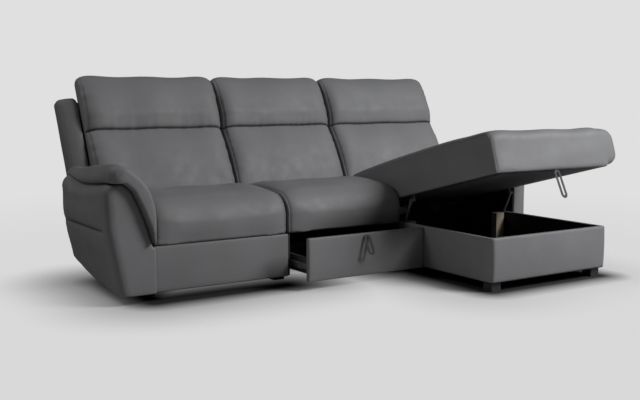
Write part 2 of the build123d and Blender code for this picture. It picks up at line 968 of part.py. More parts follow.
def lid_section(x, fullness):
    draw = (1 - fullness) * lid_draw
    top = lid_thickness - draw
    front = draw - lid_length
    rear_top = (-lid_rear_gap - lid_rear_rake, top - seat_rear_drop)
    with BuildSketch(lid_side_plane(x)) as section:
        with BuildLine():
            Polyline((-lid_rear_gap, 0), (front, 0), (front, top - lid_roll_height))
            ThreePointArc(
                (front, top - lid_roll_height),
                (front + corner_middle * lid_roll, top - corner_middle * lid_roll_height),
                (front + lid_roll, top),
            )
            ThreePointArc(
                (front + lid_roll, top),
                (front / 2, top + least_crown + lid_crown * fullness),
                rear_top,
            )
            Line(rear_top, (-lid_rear_gap, 0))
        make_face()
    return section.sketch


def lid_swell_section(x, draw):
    # The outer side of the lid swells past the box in front of the side panel
    front = lid_swell_inset + draw - lid_length
    low = lid_swell_low + draw
    high = lid_thickness - lid_swell_drop - draw
    with BuildSketch(lid_side_plane(x)) as section:
        with Locations(((front - lid_length + lid_swell_length - draw) / 2, (low + high) / 2)):
            RectangleRounded(lid_swell_length - lid_swell_inset - 2 * draw, high - low, lid_swell_corner)
    return section.sketch


lid_stations = cushion_stations(chaise_left, chaise_right, lid_inset)
lid_sections = [lid_section(x, full) for x, full in lid_stations]
swell_sections = [lid_swell_section(chaise_right - cushion_turn, 0)]
for step in round_steps:
    swell_sections.append(
        lid_swell_section(chaise_right + lid_swell * sin(step), lid_swell_draw * (1 - cos(step)))
    )
with BuildPart() as lid_cushion:
    loft(sections=lid_sections)
    loft(sections=swell_sections, ruled=True)
    lid_block(
        (lid_board_span[0] - soft_gap, lid_board_span[1] + soft_gap),
        (lid_board_front - soft_gap, 0),
        (0, lid_board + soft_gap),
        mode=Mode.SUBTRACT,
    )
save(lid_cushion.part, "lid_cushion")

# Lid struts: rods turn on pins in the box, cylinders slide on the rods and loosely take the lid's pins
strut_foot = Vector(0, seat_front + strut_foot_back, strut_foot_height)
strut_head = Vector(
    0,
    hinge_y - strut_head_reach * lid_cos - strut_head_drop * lid_sin,
    hinge_height + strut_head_reach * lid_sin - strut_head_drop * lid_cos,
)
strut_line = (strut_head - strut_foot).normalized()
strut_inset = bracket + knuckle_gap + eye_width / 2
strut_sides = ((inside_left + strut_inset, 1), (inside_right - strut_inset, -1))


def strut_round(x, middle, radius, width, mode=Mode.ADD):
    with Locations(Location((x, middle.Y, middle.Z), (0, 90, 0))):
        Cylinder(radius, width, mode=mode)


with BuildPart() as strut_lower_brackets:
    for x, inwards in strut_sides:
        plate_middle = x - inwards * (strut_inset - bracket / 2)
        pin_start = x - inwards * strut_inset
        pin_end = x + inwards * eye_width / 2
        with Locations((plate_middle, strut_foot.Y, strut_foot.Z)):
            Box(bracket, bracket_size, bracket_size)
        strut_round((pin_start + pin_end) / 2, strut_foot, strut_pin_radius, abs(pin_end - pin_start))
save(strut_lower_brackets.part, "strut_lower_brackets")

with BuildPart() as strut_rods:
    for x, inwards in strut_sides:
        foot = Vector(x, strut_foot.Y, strut_foot.Z)
        with BuildSketch(Plane(origin=foot, x_dir=(1, 0, 0), z_dir=strut_line)):
            Circle(rod_radius)
        extrude(amount=rod_length)
        strut_round(x, strut_foot, eye_radius, eye_width)
        strut_round(x, strut_foot, strut_pin_radius + running_gap, eye_width, mode=Mode.SUBTRACT)
save(strut_rods.part, "strut_rods")

head_hole = strut_pin_radius + head_play
bore_end = head_hole + 2 * cylinder_radius
with BuildPart() as strut_cylinders:
    for x, inwards in strut_sides:
        head = Vector(x, strut_head.Y, strut_head.Z)
        with BuildSketch(Plane(origin=head, x_dir=(1, 0, 0), z_dir=-strut_line)):
            Circle(cylinder_radius)
        extrude(amount=cylinder_length)
        strut_round(x, strut_head, head_hole + bracket, eye_width)
        strut_round(x, strut_head, head_hole, eye_width + 2 * cylinder_radius, mode=Mode.SUBTRACT)
        bore_start = head - strut_line * bore_end
        with BuildSketch(Plane(origin=bore_start, x_dir=(1, 0, 0), z_dir=-strut_line)):
            Circle(rod_radius + running_gap)
        extrude(amount=cylinder_length, mode=Mode.SUBTRACT)
save(strut_cylinders.part, "strut_cylinders")

with BuildPart() as strut_upper_brackets:
    for x, inwards in strut_sides:
        ear_near = x + inwards * (eye_width / 2 + knuckle_gap)
        ear_far = ear_near + inwards * ear
        lid_block(
            (min(ear_near, ear_far), max(ear_near, ear_far)),
            (-strut_head_reach - ear, -strut_head_reach + ear),
            (-strut_head_drop - ear, 0),
        )
        pin_end = x - inwards * eye_width / 2
        strut_round((ear_near + pin_end) / 2, strut_head, strut_pin_radius, abs(ear_near - pin_end))
save(strut_upper_brackets.part, "strut_upper_brackets")

# Drawer, pulled partly out of the bay
drawer_front = seat_front - drawer_out
drawer_inside = drawer_front + skin + board
drawer_rear = drawer_inside + drawer_length
drawer_span = (seat_split + drawer_front_gap, chaise_left - 2 * drawer_front_gap)
drawer_board_span = (drawer_span[0] + skin, drawer_span[1] - skin)
with BuildPart() as drawer_front_board:
    block(drawer_board_span, (drawer_front + skin, drawer_inside), (foot_height + skin, base_top - skin))
save(drawer_front_board.part, "drawer_front_board")

with BuildPart() as drawer_front_cover:
    block(drawer_span, (drawer_front, drawer_inside), (foot_height, base_top))
    block(
        drawer_board_span,
        (drawer_front + skin, drawer_inside),
        (foot_height + skin, base_top - skin),
        mode=Mode.SUBTRACT,
    )
save(drawer_front_cover.part, "drawer_front_cover")

box_outer_left = bay_inner_left + runner_width
box_outer_right = bay_inner_right - runner_width
box_inner = (box_outer_left + drawer_wall, box_outer_right - drawer_wall)
with BuildPart() as drawer_sides:
    block((box_outer_left, box_inner[0]), (drawer_inside, drawer_rear), (drawer_low, drawer_high))
    block((box_inner[1], box_outer_right), (drawer_inside, drawer_rear), (drawer_low, drawer_high))
save(drawer_sides.part, "drawer_sides")

with BuildPart() as drawer_back:
    block(box_inner, (drawer_rear - drawer_wall, drawer_rear), (drawer_low, drawer_high))
save(drawer_back.part, "drawer_back")

bottom_low = drawer_low + drawer_bottom_rise
with BuildPart() as drawer_base:
    block(box_inner, (drawer_inside, drawer_rear - drawer_wall), (bottom_low, bottom_low + drawer_bottom))
save(drawer_base.part, "drawer_bottom")

# Three-part runners: channel on the bay, channel between, bar on the drawer
runner_start = front_inside + 2 * bottom_panel
runner_step = runner_metal + runner_gap
runner_sides = ((bay_inner_left, 1), (bay_inner_right, -1))


def runner_block(wall, inwards, near, far, inset, shift, mode=Mode.ADD):
    ends = (wall + inwards * near, wall + inwards * far)
    block(
        (min(ends), max(ends)),
        (runner_start - shift, runner_start - shift + runner_length),
        (runner_low + inset, runner_low + runner_height - inset),
        mode=mode,
    )


with BuildPart() as runner_outer:
    for wall, inwards in runner_sides:
        runner_block(wall, inwards, 0, runner_width - runner_step, 0, 0)
        runner_block(wall, inwards, runner_metal, runner_width, runner_metal, 0, mode=Mode.SUBTRACT)
save(runner_outer.part, "runner_outer")

with BuildPart() as runner_middle:
    for wall, inwards in runner_sides:
        half_out = drawer_out / 2
        runner_block(wall, inwards, runner_step, runner_width - runner_step, runner_step, half_out)
        runner_block(
            wall,
            inwards,
            runner_step + runner_metal,
            runner_width,
            runner_step + runner_metal,
            half_out,
            mode=Mode.SUBTRACT,
        )
save(runner_middle.part, "runner_middle")

with BuildPart() as runner_inner:
    for wall, inwards in runner_sides:
        runner_block(wall, inwards, 2 * runner_step, runner_width, 2 * runner_step, drawer_out)
save(runner_inner.part, "runner_inner")


# Pull loops: a strap bent into a ring that hangs forwards from its seam
def pull_loop(seam, angle, length):
    tilt = radians(angle)
    plane = Plane(origin=seam, x_dir=(1, 0, 0), z_dir=(0, cos(tilt), -sin(tilt)))
    with BuildPart() as loop:
        with BuildSketch(plane):
            with Locations((0, length / 2)):
                SlotOverall(length, pull_width, rotation=90)
                SlotOverall(
                    length - 2 * pull_strand,
                    pull_width - 2 * pull_strand,
                    rotation=90,
                    mode=Mode.SUBTRACT,
                )
        extrude(amount=pull_strap / 2, both=True)
    return loop.part


drawer_pull_seam = (
    seat_split + drawer_pull_across,
    drawer_front - pull_strap / 2 - soft_gap,
    base_top - 2 * skin,
)
save(pull_loop(drawer_pull_seam, drawer_pull_angle, drawer_pull_length), "drawer_pull")

lid_pull_tuck = pull_strap / 2
lid_pull_seam = (
    chaise_left + lid_pull_across,
    hinge_y - (lid_length - lid_lip / 2) * lid_cos - lid_pull_tuck * lid_sin,
    hinge_height + (lid_length - lid_lip / 2) * lid_sin - lid_pull_tuck * lid_cos,
)
save(pull_loop(lid_pull_seam, lid_pull_angle, lid_pull_length), "lid_pull")

strut_run = strut_head - strut_foot
swing = degrees(atan2(strut_run.Y, strut_run.Z))
print(f"strut length at rest {strut_run.length:.1f}, {swing:.1f} deg")
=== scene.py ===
import json
import math

import bmesh
import bpy
import numpy as np
from mathutils import Matrix, Vector
from mathutils.bvhtree import BVHTree


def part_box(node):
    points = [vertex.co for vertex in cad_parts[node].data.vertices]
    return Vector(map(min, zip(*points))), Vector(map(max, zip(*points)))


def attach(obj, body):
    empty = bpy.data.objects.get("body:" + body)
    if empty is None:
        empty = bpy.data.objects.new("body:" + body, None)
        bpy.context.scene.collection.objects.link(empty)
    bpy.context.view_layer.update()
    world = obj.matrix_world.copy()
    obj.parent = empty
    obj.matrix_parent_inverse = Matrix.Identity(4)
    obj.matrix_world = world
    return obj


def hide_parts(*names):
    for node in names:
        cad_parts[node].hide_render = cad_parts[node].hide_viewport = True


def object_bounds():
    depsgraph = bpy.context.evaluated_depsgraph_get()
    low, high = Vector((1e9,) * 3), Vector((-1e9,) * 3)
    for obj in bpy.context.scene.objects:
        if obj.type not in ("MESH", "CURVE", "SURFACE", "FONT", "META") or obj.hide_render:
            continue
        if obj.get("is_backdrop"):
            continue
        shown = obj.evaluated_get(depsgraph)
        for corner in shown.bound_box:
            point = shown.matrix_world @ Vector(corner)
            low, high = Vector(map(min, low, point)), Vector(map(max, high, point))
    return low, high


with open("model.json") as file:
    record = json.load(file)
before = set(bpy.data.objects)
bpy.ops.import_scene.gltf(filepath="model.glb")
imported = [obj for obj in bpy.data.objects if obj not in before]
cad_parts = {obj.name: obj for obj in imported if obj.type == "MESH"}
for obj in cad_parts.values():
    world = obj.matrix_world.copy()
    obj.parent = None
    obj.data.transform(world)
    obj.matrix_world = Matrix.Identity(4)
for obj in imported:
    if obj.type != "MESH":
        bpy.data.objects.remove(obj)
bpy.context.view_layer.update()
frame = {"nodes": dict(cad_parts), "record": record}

print("frame loaded:", len(frame["nodes"]), "nodes")


# Camera, floor and light
cameraSetup = {
    "place": (-2.5975, -3.8586, 0.93),
    "tilt": 83.335,
    "heading": -32.97,
    "lens": 52.30,
    "sensor": 36.0,
    "farClip": 60.0,
}
studio = {
    "floorGrey": 0.50,
    "floorShown": 0.69,
    "backdropGrey": 0.745,
    "floorSize": 14.0,
    "fadeStart": 2.0,
    "fadeEnd": 4.6,
    "shadowReach": 0.62,
    # The contact values paint a shadow into the floor colour around the sofa's footprint
    "contactStart": 0.03,
    "contactReach": 0.18,
    "paintedShadowGrey": 0.03,
    "contactBlend": 0.05,
    "ambient": 0.055,
    "keyPlace": (2.5, -3.0, 3.1),
    "keySize": 2.0,
    "keyPower": 252.0,
    "fillPlace": (-2.9, 0.9, 3.0),
    "fillSize": 1.6,
    "fillPower": 34.0,
    "aim": (0.0, -0.1, 0.35),
}


def addObject(name, data):
    obj = bpy.data.objects.new(name, data)
    bpy.context.scene.collection.objects.link(obj)
    return obj


def addMesh(name, bm):
    mesh = bpy.data.meshes.new(name)
    bm.to_mesh(mesh)
    bm.free()
    return addObject(name, mesh)


def makeCamera(setup):
    data = bpy.data.cameras.new("photoCamera")
    data.lens = setup["lens"]
    data.sensor_width = setup["sensor"]
    data.clip_end = setup["farClip"]
    camera = addObject("photoCamera", data)
    camera.location = setup["place"]
    camera.rotation_euler = (math.radians(setup["tilt"]), 0.0, math.radians(setup["heading"]))
    bpy.context.scene.camera = camera


def makeLamp(name, place, size, power):
    data = bpy.data.lights.new(name, "AREA")
    data.shape = "DISK"
    data.size = size
    data.energy = power
    lamp = addObject(name, data)
    lamp.location = place
    aim = Vector(studio["aim"]) - Vector(place)
    lamp.rotation_euler = aim.to_track_quat("-Z", "Y").to_euler()


def put(tree, kind, inputs=None, **settings):
    node = tree.nodes.new(kind)
    for key, value in settings.items():
        setattr(node, key, value)
    for key, value in (inputs or {}).items():
        node.inputs[key].default_value = value
    return node


def spread(tree, value, low, high, fromLow=0.3, fromHigh=0.7):
    span = put(tree, "ShaderNodeMapRange", {"From Min": fromLow, "From Max": fromHigh})
    span.inputs["To Min"].default_value = low
    span.inputs["To Max"].default_value = high
    tree.links.new(value, span.inputs["Value"])
    return span.outputs["Result"]


def twoTones(tree, value, first, second):
    mix = put(tree, "ShaderNodeMix", data_type="RGBA")
    mix.inputs["A"].default_value = (*first[:3], 1.0)
    mix.inputs["B"].default_value = (*second[:3], 1.0)
    tree.links.new(value, mix.inputs["Factor"])
    return mix


def cameraRay(tree):
    return put(tree, "ShaderNodeLightPath").outputs["Is Camera Ray"]


def greyTone(level):
    return (level, level, level, 1.0)


def makeWorld():
    world = bpy.data.worlds.new("studio")
    bpy.context.scene.world = world
    world.use_nodes = True
    tree = world.node_tree
    ambient = tree.nodes["Background"]
    ambient.inputs["Color"].default_value = greyTone(1.0)
    ambient.inputs["Strength"].default_value = studio["ambient"]
    shown = put(tree, "ShaderNodeBackground", {"Color": greyTone(studio["backdropGrey"]), "Strength": 1.0})
    mix = put(tree, "ShaderNodeMixShader")
    tree.links.new(cameraRay(tree), mix.inputs["Fac"])
    tree.links.new(ambient.outputs[0], mix.inputs[1])
    tree.links.new(shown.outputs[0], mix.inputs[2])
    tree.links.new(mix.outputs[0], tree.nodes["World Output"].inputs["Surface"])


def outsideBox(tree, where, low, high):
    # Distance on the floor from the edge of a part's footprint
    middle = (low + high) / 2
    half = (high - low) / 2
    aside = put(tree, "ShaderNodeVectorMath", operation="SUBTRACT")
    aside.inputs[1].default_value = (middle.x, middle.y, 0.0)
    span = put(tree, "ShaderNodeVectorMath", operation="ABSOLUTE")
    past = put(tree, "ShaderNodeVectorMath", operation="SUBTRACT")
    past.inputs[1].default_value = (half.x, half.y, 0.0)
    clear = put(tree, "ShaderNodeVectorMath", operation="MAXIMUM")
    reach = put(tree, "ShaderNodeVectorMath", operation="LENGTH")
    tree.links.new(where, aside.inputs[0])
    tree.links.new(aside.outputs[0], span.inputs[0])
    tree.links.new(span.outputs[0], past.inputs[0])
    tree.links.new(past.outputs[0], clear.inputs[0])
    tree.links.new(clear.outputs[0], reach.inputs[0])
    return reach.outputs["Value"]


def makeFloor():
    # Diffuse near the sofa, where its shadow falls, with a painted contact shadow that darkens the floor
    # colour towards the sofa's footprint, and plain backdrop grey further out
    material = bpy.data.materials.new("studioFloor")
    material.use_nodes = True
    tree = material.node_tree
    tree.nodes.remove(tree.nodes["Principled BSDF"])
    place = put(tree, "ShaderNodeTexCoord").outputs["Object"]
    paint = put(tree, "ShaderNodeBsdfDiffuse")
    far = put(tree, "ShaderNodeVectorMath", operation="LENGTH")
    tree.links.new(place, far.inputs[0])
    fade = spread(tree, far.outputs["Value"], 0.0, 1.0, studio["fadeStart"], studio["fadeEnd"])
    shownTone = twoTones(tree, fade, greyTone(studio["floorShown"]), greyTone(studio["backdropGrey"]))
    glow = put(tree, "ShaderNodeEmission", {"Strength": 1.0})
    tree.links.new(shownTone.outputs["Result"], glow.inputs["Color"])
    nearest = outsideBox(tree, place, *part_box("chaise_floor"))
    for node in ("front_cover", "base_rear_board", "base_left_board", "bay_right_board"):
        nearer = put(tree, "ShaderNodeMath", {2: studio["contactBlend"]}, operation="SMOOTH_MIN")
        tree.links.new(nearest, nearer.inputs[0])
        tree.links.new(outsideBox(tree, place, *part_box(node)), nearer.inputs[1])
        nearest = nearer.outputs[0]
    # Painted shadow: the floor colour darkens from floorGrey to a near-black grey close to the footprints
    paintedShadowFade = spread(tree, nearest, 0.0, 1.0, studio["contactStart"], studio["contactReach"])
    paintedShadow = twoTones(tree, paintedShadowFade, greyTone(studio["paintedShadowGrey"]), greyTone(studio["floorGrey"]))
    tree.links.new(paintedShadow.outputs["Result"], paint.inputs["Color"])
    share = put(
        tree, "ShaderNodeMapRange", {"From Max": studio["shadowReach"]}, interpolation_type="SMOOTHSTEP"
    )
    tree.links.new(nearest, share.inputs["Value"])
    shown = put(tree, "ShaderNodeMath", operation="MULTIPLY")
    tree.links.new(share.outputs["Result"], shown.inputs[0])
    tree.links.new(cameraRay(tree), shown.inputs[1])
    mix = put(tree, "ShaderNodeMixShader")
    tree.links.new(shown.outputs[0], mix.inputs["Fac"])
    tree.links.new(paint.outputs[0], mix.inputs[1])
    tree.links.new(glow.outputs[0], mix.inputs[2])
    tree.links.new(mix.outputs[0], tree.nodes["Material Output"].inputs["Surface"])
    bm = bmesh.new()
    bmesh.ops.create_grid(bm, x_segments=2, y_segments=2, size=studio["floorSize"])
    floor = addMesh("studioFloor", bm)
    floor.data.materials.append(material)
    floor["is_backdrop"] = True


makeCamera(cameraSetup)
makeLamp("keyLamp", studio["keyPlace"], studio["keySize"], studio["keyPower"])
makeLamp("fillLamp", studio["fillPlace"], studio["fillSize"], studio["fillPower"])
makeWorld()
makeFloor()
bpy.context.scene.view_settings.view_transform = "Standard"
print("camera, floor and light set")


# Finishes
def newFinish(name, roughness):
    material = bpy.data.materials.new(name)
    material.use_nodes = True
    shader = material.node_tree.nodes["Principled BSDF"]
    shader.inputs["Roughness"].default_value = roughness
    return material, material.node_tree, shader


def scaledPlace(tree, scale):
    place = put(tree, "ShaderNodeTexCoord")
    mapping = put(tree, "ShaderNodeMapping", {"Scale": scale})
    tree.links.new(place.outputs["Object"], mapping.inputs["Vector"])
    return mapping.outputs["Vector"]


def noiseAt(tree, where, scale, detail=3.0, rough=0.5):
    noise = put(tree, "ShaderNodeTexNoise", {"Scale": scale, "Detail": detail, "Roughness": rough})
    tree.links.new(where, noise.inputs["Vector"])
    return noise.outputs["Fac"]


def bumpOn(tree, height, distance, strength, under=None):
    bump = put(tree, "ShaderNodeBump", {"Distance": distance, "Strength": strength})
    tree.links.new(height, bump.inputs["Height"])
    if under is not None:
        tree.links.new(under, bump.inputs["Normal"])
    return bump.outputs["Normal"]


leather = {
    "low": (0.133, 0.134, 0.138),
    "high": (0.150, 0.151, 0.156),
    "paintedSeamShade": (0.050, 0.050, 0.053),
    "patch": 5.0,
    "patchDetail": 4.0,
    "pebble": 560.0,
    "pebbleSpread": 0.9,
    "pebbleDepth": 0.00025,
    "pebbleStrength": 0.5,
    "crease": 46.0,
    "creaseDetail": 6.0,
    "creaseRough": 0.62,
    "creaseDepth": 0.0006,
    "creaseStrength": 0.35,
    "gloss": 18.0,
    "rough": 0.47,
    "roughLow": 0.52,
    "roughHigh": 0.66,
    "specular": 0.26,
}


def leatherFinish(name, darker=1.0):
    material, tree, shader = newFinish(name, leather["rough"])
    where = scaledPlace(tree, (1.0, 1.0, 1.0))
    patch = noiseAt(tree, where, leather["patch"], leather["patchDetail"])
    low = [channel * darker for channel in leather["low"]]
    high = [channel * darker for channel in leather["high"]]
    tone = twoTones(tree, spread(tree, patch, 0.0, 1.0), low, high)
    # Painted shade in seams and creases: the seam attribute blends the leather colour towards a near-black
    # tone
    seam = put(tree, "ShaderNodeAttribute", attribute_name="seam")
    seamShade = twoTones(tree, seam.outputs["Fac"], high, leather["paintedSeamShade"])
    tree.links.new(tone.outputs["Result"], seamShade.inputs["A"])
    tree.links.new(seamShade.outputs["Result"], shader.inputs["Base Color"])
    pebble = put(
        tree, "ShaderNodeTexVoronoi", {"Scale": leather["pebble"], "Randomness": leather["pebbleSpread"]}
    )
    tree.links.new(where, pebble.inputs["Vector"])
    crease = noiseAt(tree, where, leather["crease"], leather["creaseDetail"], leather["creaseRough"])
    soft = bumpOn(tree, crease, leather["creaseDepth"], leather["creaseStrength"])
    pebbleHeight = pebble.outputs["Distance"]
    grain = bumpOn(tree, pebbleHeight, leather["pebbleDepth"], leather["pebbleStrength"], soft)
    tree.links.new(grain, shader.inputs["Normal"])
    gloss = noiseAt(tree, where, leather["gloss"])
    tree.links.new(
        spread(tree, gloss, leather["roughLow"], leather["roughHigh"]), shader.inputs["Roughness"]
    )
    shader.inputs["Specular IOR Level"].default_value = leather["specular"]
    return material


timber = {
    "pale": (0.43, 0.37, 0.29),
    "dark": (0.31, 0.26, 0.20),
    "along": 2.2,
    "across": 34.0,
    "detail": 6.0,
    "grainRough": 0.65,
    "depth": 0.0006,
    "strength": 0.4,
    "rough": 0.6,
    "roughLow": 0.5,
    "roughHigh": 0.72,
}


def timberFinish(axis):
    # Grain runs along the board's longest side
    scale = [timber["across"]] * 3
    scale[axis] = timber["along"]
    material, tree, shader = newFinish("paleTimber" + "XYZ"[axis], timber["rough"])
    where = scaledPlace(tree, scale)
    grain = noiseAt(tree, where, 1.0, timber["detail"], timber["grainRough"])
    tone = twoTones(tree, spread(tree, grain, 0.0, 1.0), timber["pale"], timber["dark"])
    tree.links.new(tone.outputs["Result"], shader.inputs["Base Color"])
    tree.links.new(bumpOn(tree, grain, timber["depth"], timber["strength"]), shader.inputs["Normal"])
    gloss = spread(tree, grain, timber["roughLow"], timber["roughHigh"])
    tree.links.new(gloss, shader.inputs["Roughness"])
    return material


specks = {"detail": 4.0, "noiseRough": 0.6, "strength": 0.5, "roughSpread": 0.08}


def speckledFinish(name, first, second, scale, depth, rough, metal=0.0, stretch=(1.0, 1.0, 1.0)):
    material, tree, shader = newFinish(name, rough)
    where = scaledPlace(tree, stretch)
    speck = noiseAt(tree, where, scale, specks["detail"], specks["noiseRough"])
    tone = twoTones(tree, spread(tree, speck, 0.0, 1.0), first, second)
    tree.links.new(tone.outputs["Result"], shader.inputs["Base Color"])
    tree.links.new(bumpOn(tree, speck, depth, specks["strength"]), shader.inputs["Normal"])
    gloss = spread(tree, speck, rough - specks["roughSpread"], rough + specks["roughSpread"])
    tree.links.new(gloss, shader.inputs["Roughness"])
    shader.inputs["Metallic"].default_value = metal
    return material


weaving = {"rough": 0.85, "strength": 0.6}


def wovenFinish(name, warp, weft, pitch, depth):
    # Plain weave from two crossed bands
    material, tree, shader = newFinish(name, weaving["rough"])
    where = scaledPlace(tree, (1.0, 1.0, 1.0))
    across = put(tree, "ShaderNodeTexWave", {"Scale": pitch}, bands_direction="X")
    down = put(tree, "ShaderNodeTexWave", {"Scale": pitch}, bands_direction="Z")
    tree.links.new(where, across.inputs["Vector"])
    tree.links.new(where, down.inputs["Vector"])
    weave = put(tree, "ShaderNodeMath", operation="MULTIPLY")
    tree.links.new(across.outputs["Fac"], weave.inputs[0])
    tree.links.new(down.outputs["Fac"], weave.inputs[1])
    tone = twoTones(tree, weave.outputs[0], warp, weft)
    tree.links.new(tone.outputs["Result"], shader.inputs["Base Color"])
    tree.links.new(bumpOn(tree, weave.outputs[0], depth, weaving["strength"]), shader.inputs["Normal"])
    return material


greyLeather = leatherFinish("greyLeather")
strapLeather = leatherFinish("strapLeather", 0.15)
# The wing's leather is a darker copy of the grey leather: painted shade for the back cushion's shadow on it
wingShadedLeather = leatherFinish("wingShadedLeather", 0.72)
paleTimber = [timberFinish(axis) for axis in range(3)]
blackLining = speckledFinish("blackLining", (0.010, 0.010, 0.011), (0.018, 0.018, 0.020), 900.0, 0.0002, 0.62)
brownBoard = speckledFinish(
    "brownBoard", (0.030, 0.024, 0.022), (0.052, 0.040, 0.034), 9.0, 0.0002, 0.42, stretch=(6.0, 0.5, 6.0)
)
zincSteel = speckledFinish(
    "zincSteel", (0.34, 0.34, 0.35), (0.44, 0.44, 0.45), 60.0, 0.0001, 0.42, 1.0, (1.0, 0.1, 1.0)
)
brightRod = speckledFinish("brightRod", (0.74, 0.74, 0.76), (0.82, 0.82, 0.84), 300.0, 0.00002, 0.16, 1.0)
greyEnamel = speckledFinish("greyEnamel", (0.085, 0.085, 0.088), (0.115, 0.115, 0.118), 500.0, 0.0001, 0.42)
blackPlastic = speckledFinish(
    "blackPlastic", (0.018, 0.018, 0.018), (0.028, 0.028, 0.028), 1200.0, 0.0002, 0.52
)
blackCloth = wovenFinish("blackCloth", (0.014, 0.014, 0.015), (0.030, 0.030, 0.032), 320.0, 0.0003)
webbingCloth = wovenFinish("webbingCloth", (0.24, 0.20, 0.15), (0.42, 0.36, 0.29), 160.0, 0.0006)
seamThread = speckledFinish("seamThread", (0.090, 0.090, 0.094), (0.130, 0.130, 0.135), 2500.0, 0.0001, 0.6)

finishOfSlot = {
    "black_lining": blackLining,
    "brown_board": brownBoard,
    "zinc_steel": zincSteel,
    "bright_rod": brightRod,
    "grey_enamel": greyEnamel,
    "black_plastic": blackPlastic,
    "black_cloth": blackCloth,
    "webbing": webbingCloth,
    "grey_leather": greyLeather,
}
# Timber boards at the rear that show through gaps: the arm's rear board gets leather, the back's uprights and
# rails get black lining as painted shade in those gaps
boardsInLeatherAndShade = {
    "arm_rear_board": greyLeather,
    "back_uprights": blackLining,
    "back_top_rail": blackLining,
    "back_lower_rails": blackLining,
}
for row in frame["record"]["subparts"]:
    node = frame["nodes"][row["node"]]
    low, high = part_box(row["node"])
    sides = list(high - low)
    longest = sides.index(max(sides))
    finish = finishOfSlot.get(row["material_slot"], paleTimber[longest])
    finish = boardsInLeatherAndShade.get(row["node"], finish)
    for holder in node.material_slots:
        holder.material = finish
print("finishes made")


# Soft pieces start from a merged, evenly meshed copy of their solid
def pointsOf(obj):
    points = np.empty(len(obj.data.vertices) * 3, np.float32)
    obj.data.vertices.foreach_get("co", points)
    return points.reshape(-1, 3).astype(float)


def normalsOf(obj):
    normals = np.empty(len(obj.data.vertices) * 3, np.float32)
    obj.data.vertex_normals.foreach_get("vector", normals)
    return normals.reshape(-1, 3).astype(float)


def movePoints(obj, points):
    obj.data.vertices.foreach_set("co", points.astype(np.float32).ravel())
    obj.data.update()


def bakeModifiers(obj):
    graph = bpy.context.evaluated_depsgraph_get()
    baked = bpy.data.meshes.new_from_object(obj.evaluated_get(graph))
    obj.modifiers.clear()
    obj.data = baked


solidUnder = {}
meshing = {"weld": 0.00002, "cut": 0.00001, "relaxShare": 0.5}


def relax(obj, times):
    bm = bmesh.new()
    bm.from_mesh(obj.data)
    share = meshing["relaxShare"]
    for turn in range(times):
        bmesh.ops.smooth_vert(
            bm, verts=bm.verts, factor=share, use_axis_x=True, use_axis_y=True, use_axis_z=True
        )
    bm.to_mesh(obj.data)
    bm.free()


def softCopy(nodes, name, voxel, relaxed, place=None):
    bm = bmesh.new()
    for node in nodes:
        bm.from_mesh(frame["nodes"][node].data)
    bmesh.ops.remove_doubles(bm, verts=bm.verts, dist=meshing["weld"])
    if place is not None:
        bmesh.ops.transform(bm, matrix=place.inverted(), verts=bm.verts)
    solidUnder[name] = BVHTree.FromBMesh(bm)
    obj = addMesh(name, bm)
    even = obj.modifiers.new("even", "REMESH")
    even.mode = "VOXEL"
    even.voxel_size = voxel
    bakeModifiers(obj)
    relax(obj, relaxed)
    return obj


def finer(obj, times):
    rounder = obj.modifiers.new("rounder", "SUBSURF")
    rounder.levels = times
    rounder.render_levels = times
    bakeModifiers(obj)


def evenOut(obj, moves, times):
    # Each point's move drawn towards the mean of its neighbours' moves
    ends = np.empty(len(obj.data.edges) * 2, np.int32)
    obj.data.edges.foreach_get("vertices", ends)
    first, second = ends.reshape(-1, 2).T
    count = np.bincount(ends, minlength=len(moves))[:, None]
    for turn in range(times):
        total = np.zeros_like(moves)
        np.add.at(total, first, moves[second])
        np.add.at(total, second, moves[first])
        moves = 0.5 * moves + 0.5 * total / np.maximum(count, 1)
    return moves


stuffing = {
    "pressure": 4.0,
    "frames": 20,
    "quality": 4,
    "tension": 40.0,
    "bending": 12.0,
    "calm": 6,
    "finer": 2,
    "relaxed": 3,
}


def stuff(obj, held, cap):
    # Pressure swells the cover between the held points, none further than the cap; kept as an attribute
    obj.data.attributes.new("swell", "FLOAT_VECTOR", "POINT")
    rest = pointsOf(obj)
    group = obj.vertex_groups.new(name="held")
    group.add([int(index) for index in np.nonzero(held)[0]], 1.0, "REPLACE")
    cloth = obj.modifiers.new("stuffing", "CLOTH")
    cloth.settings.vertex_group_mass = "held"
    cloth.settings.quality = stuffing["quality"]
    cloth.settings.tension_stiffness = stuffing["tension"]
    cloth.settings.compression_stiffness = stuffing["tension"]
    cloth.settings.bending_stiffness = stuffing["bending"]
    cloth.settings.use_pressure = True
    cloth.settings.uniform_pressure_force = stuffing["pressure"]
    cloth.settings.effector_weights.gravity = 0.0
    cloth.collision_settings.use_collision = False
    cloth.point_cache.frame_end = stuffing["frames"]
    for step in range(1, stuffing["frames"] + 1):
        bpy.context.scene.frame_set(step)
    graph = bpy.context.evaluated_depsgraph_get()
    move = pointsOf(obj.evaluated_get(graph)) - rest
    obj.modifiers.clear()
    obj.vertex_groups.clear()
    length = np.maximum(np.linalg.norm(move, axis=1), 1e-9)
    move = evenOut(obj, move * np.minimum(1.0, cap / length)[:, None], stuffing["calm"])
    swell = obj.data.attributes["swell"]
    swell.data.foreach_set("vector", move.astype(np.float32).ravel())
    bpy.context.scene.frame_set(1)


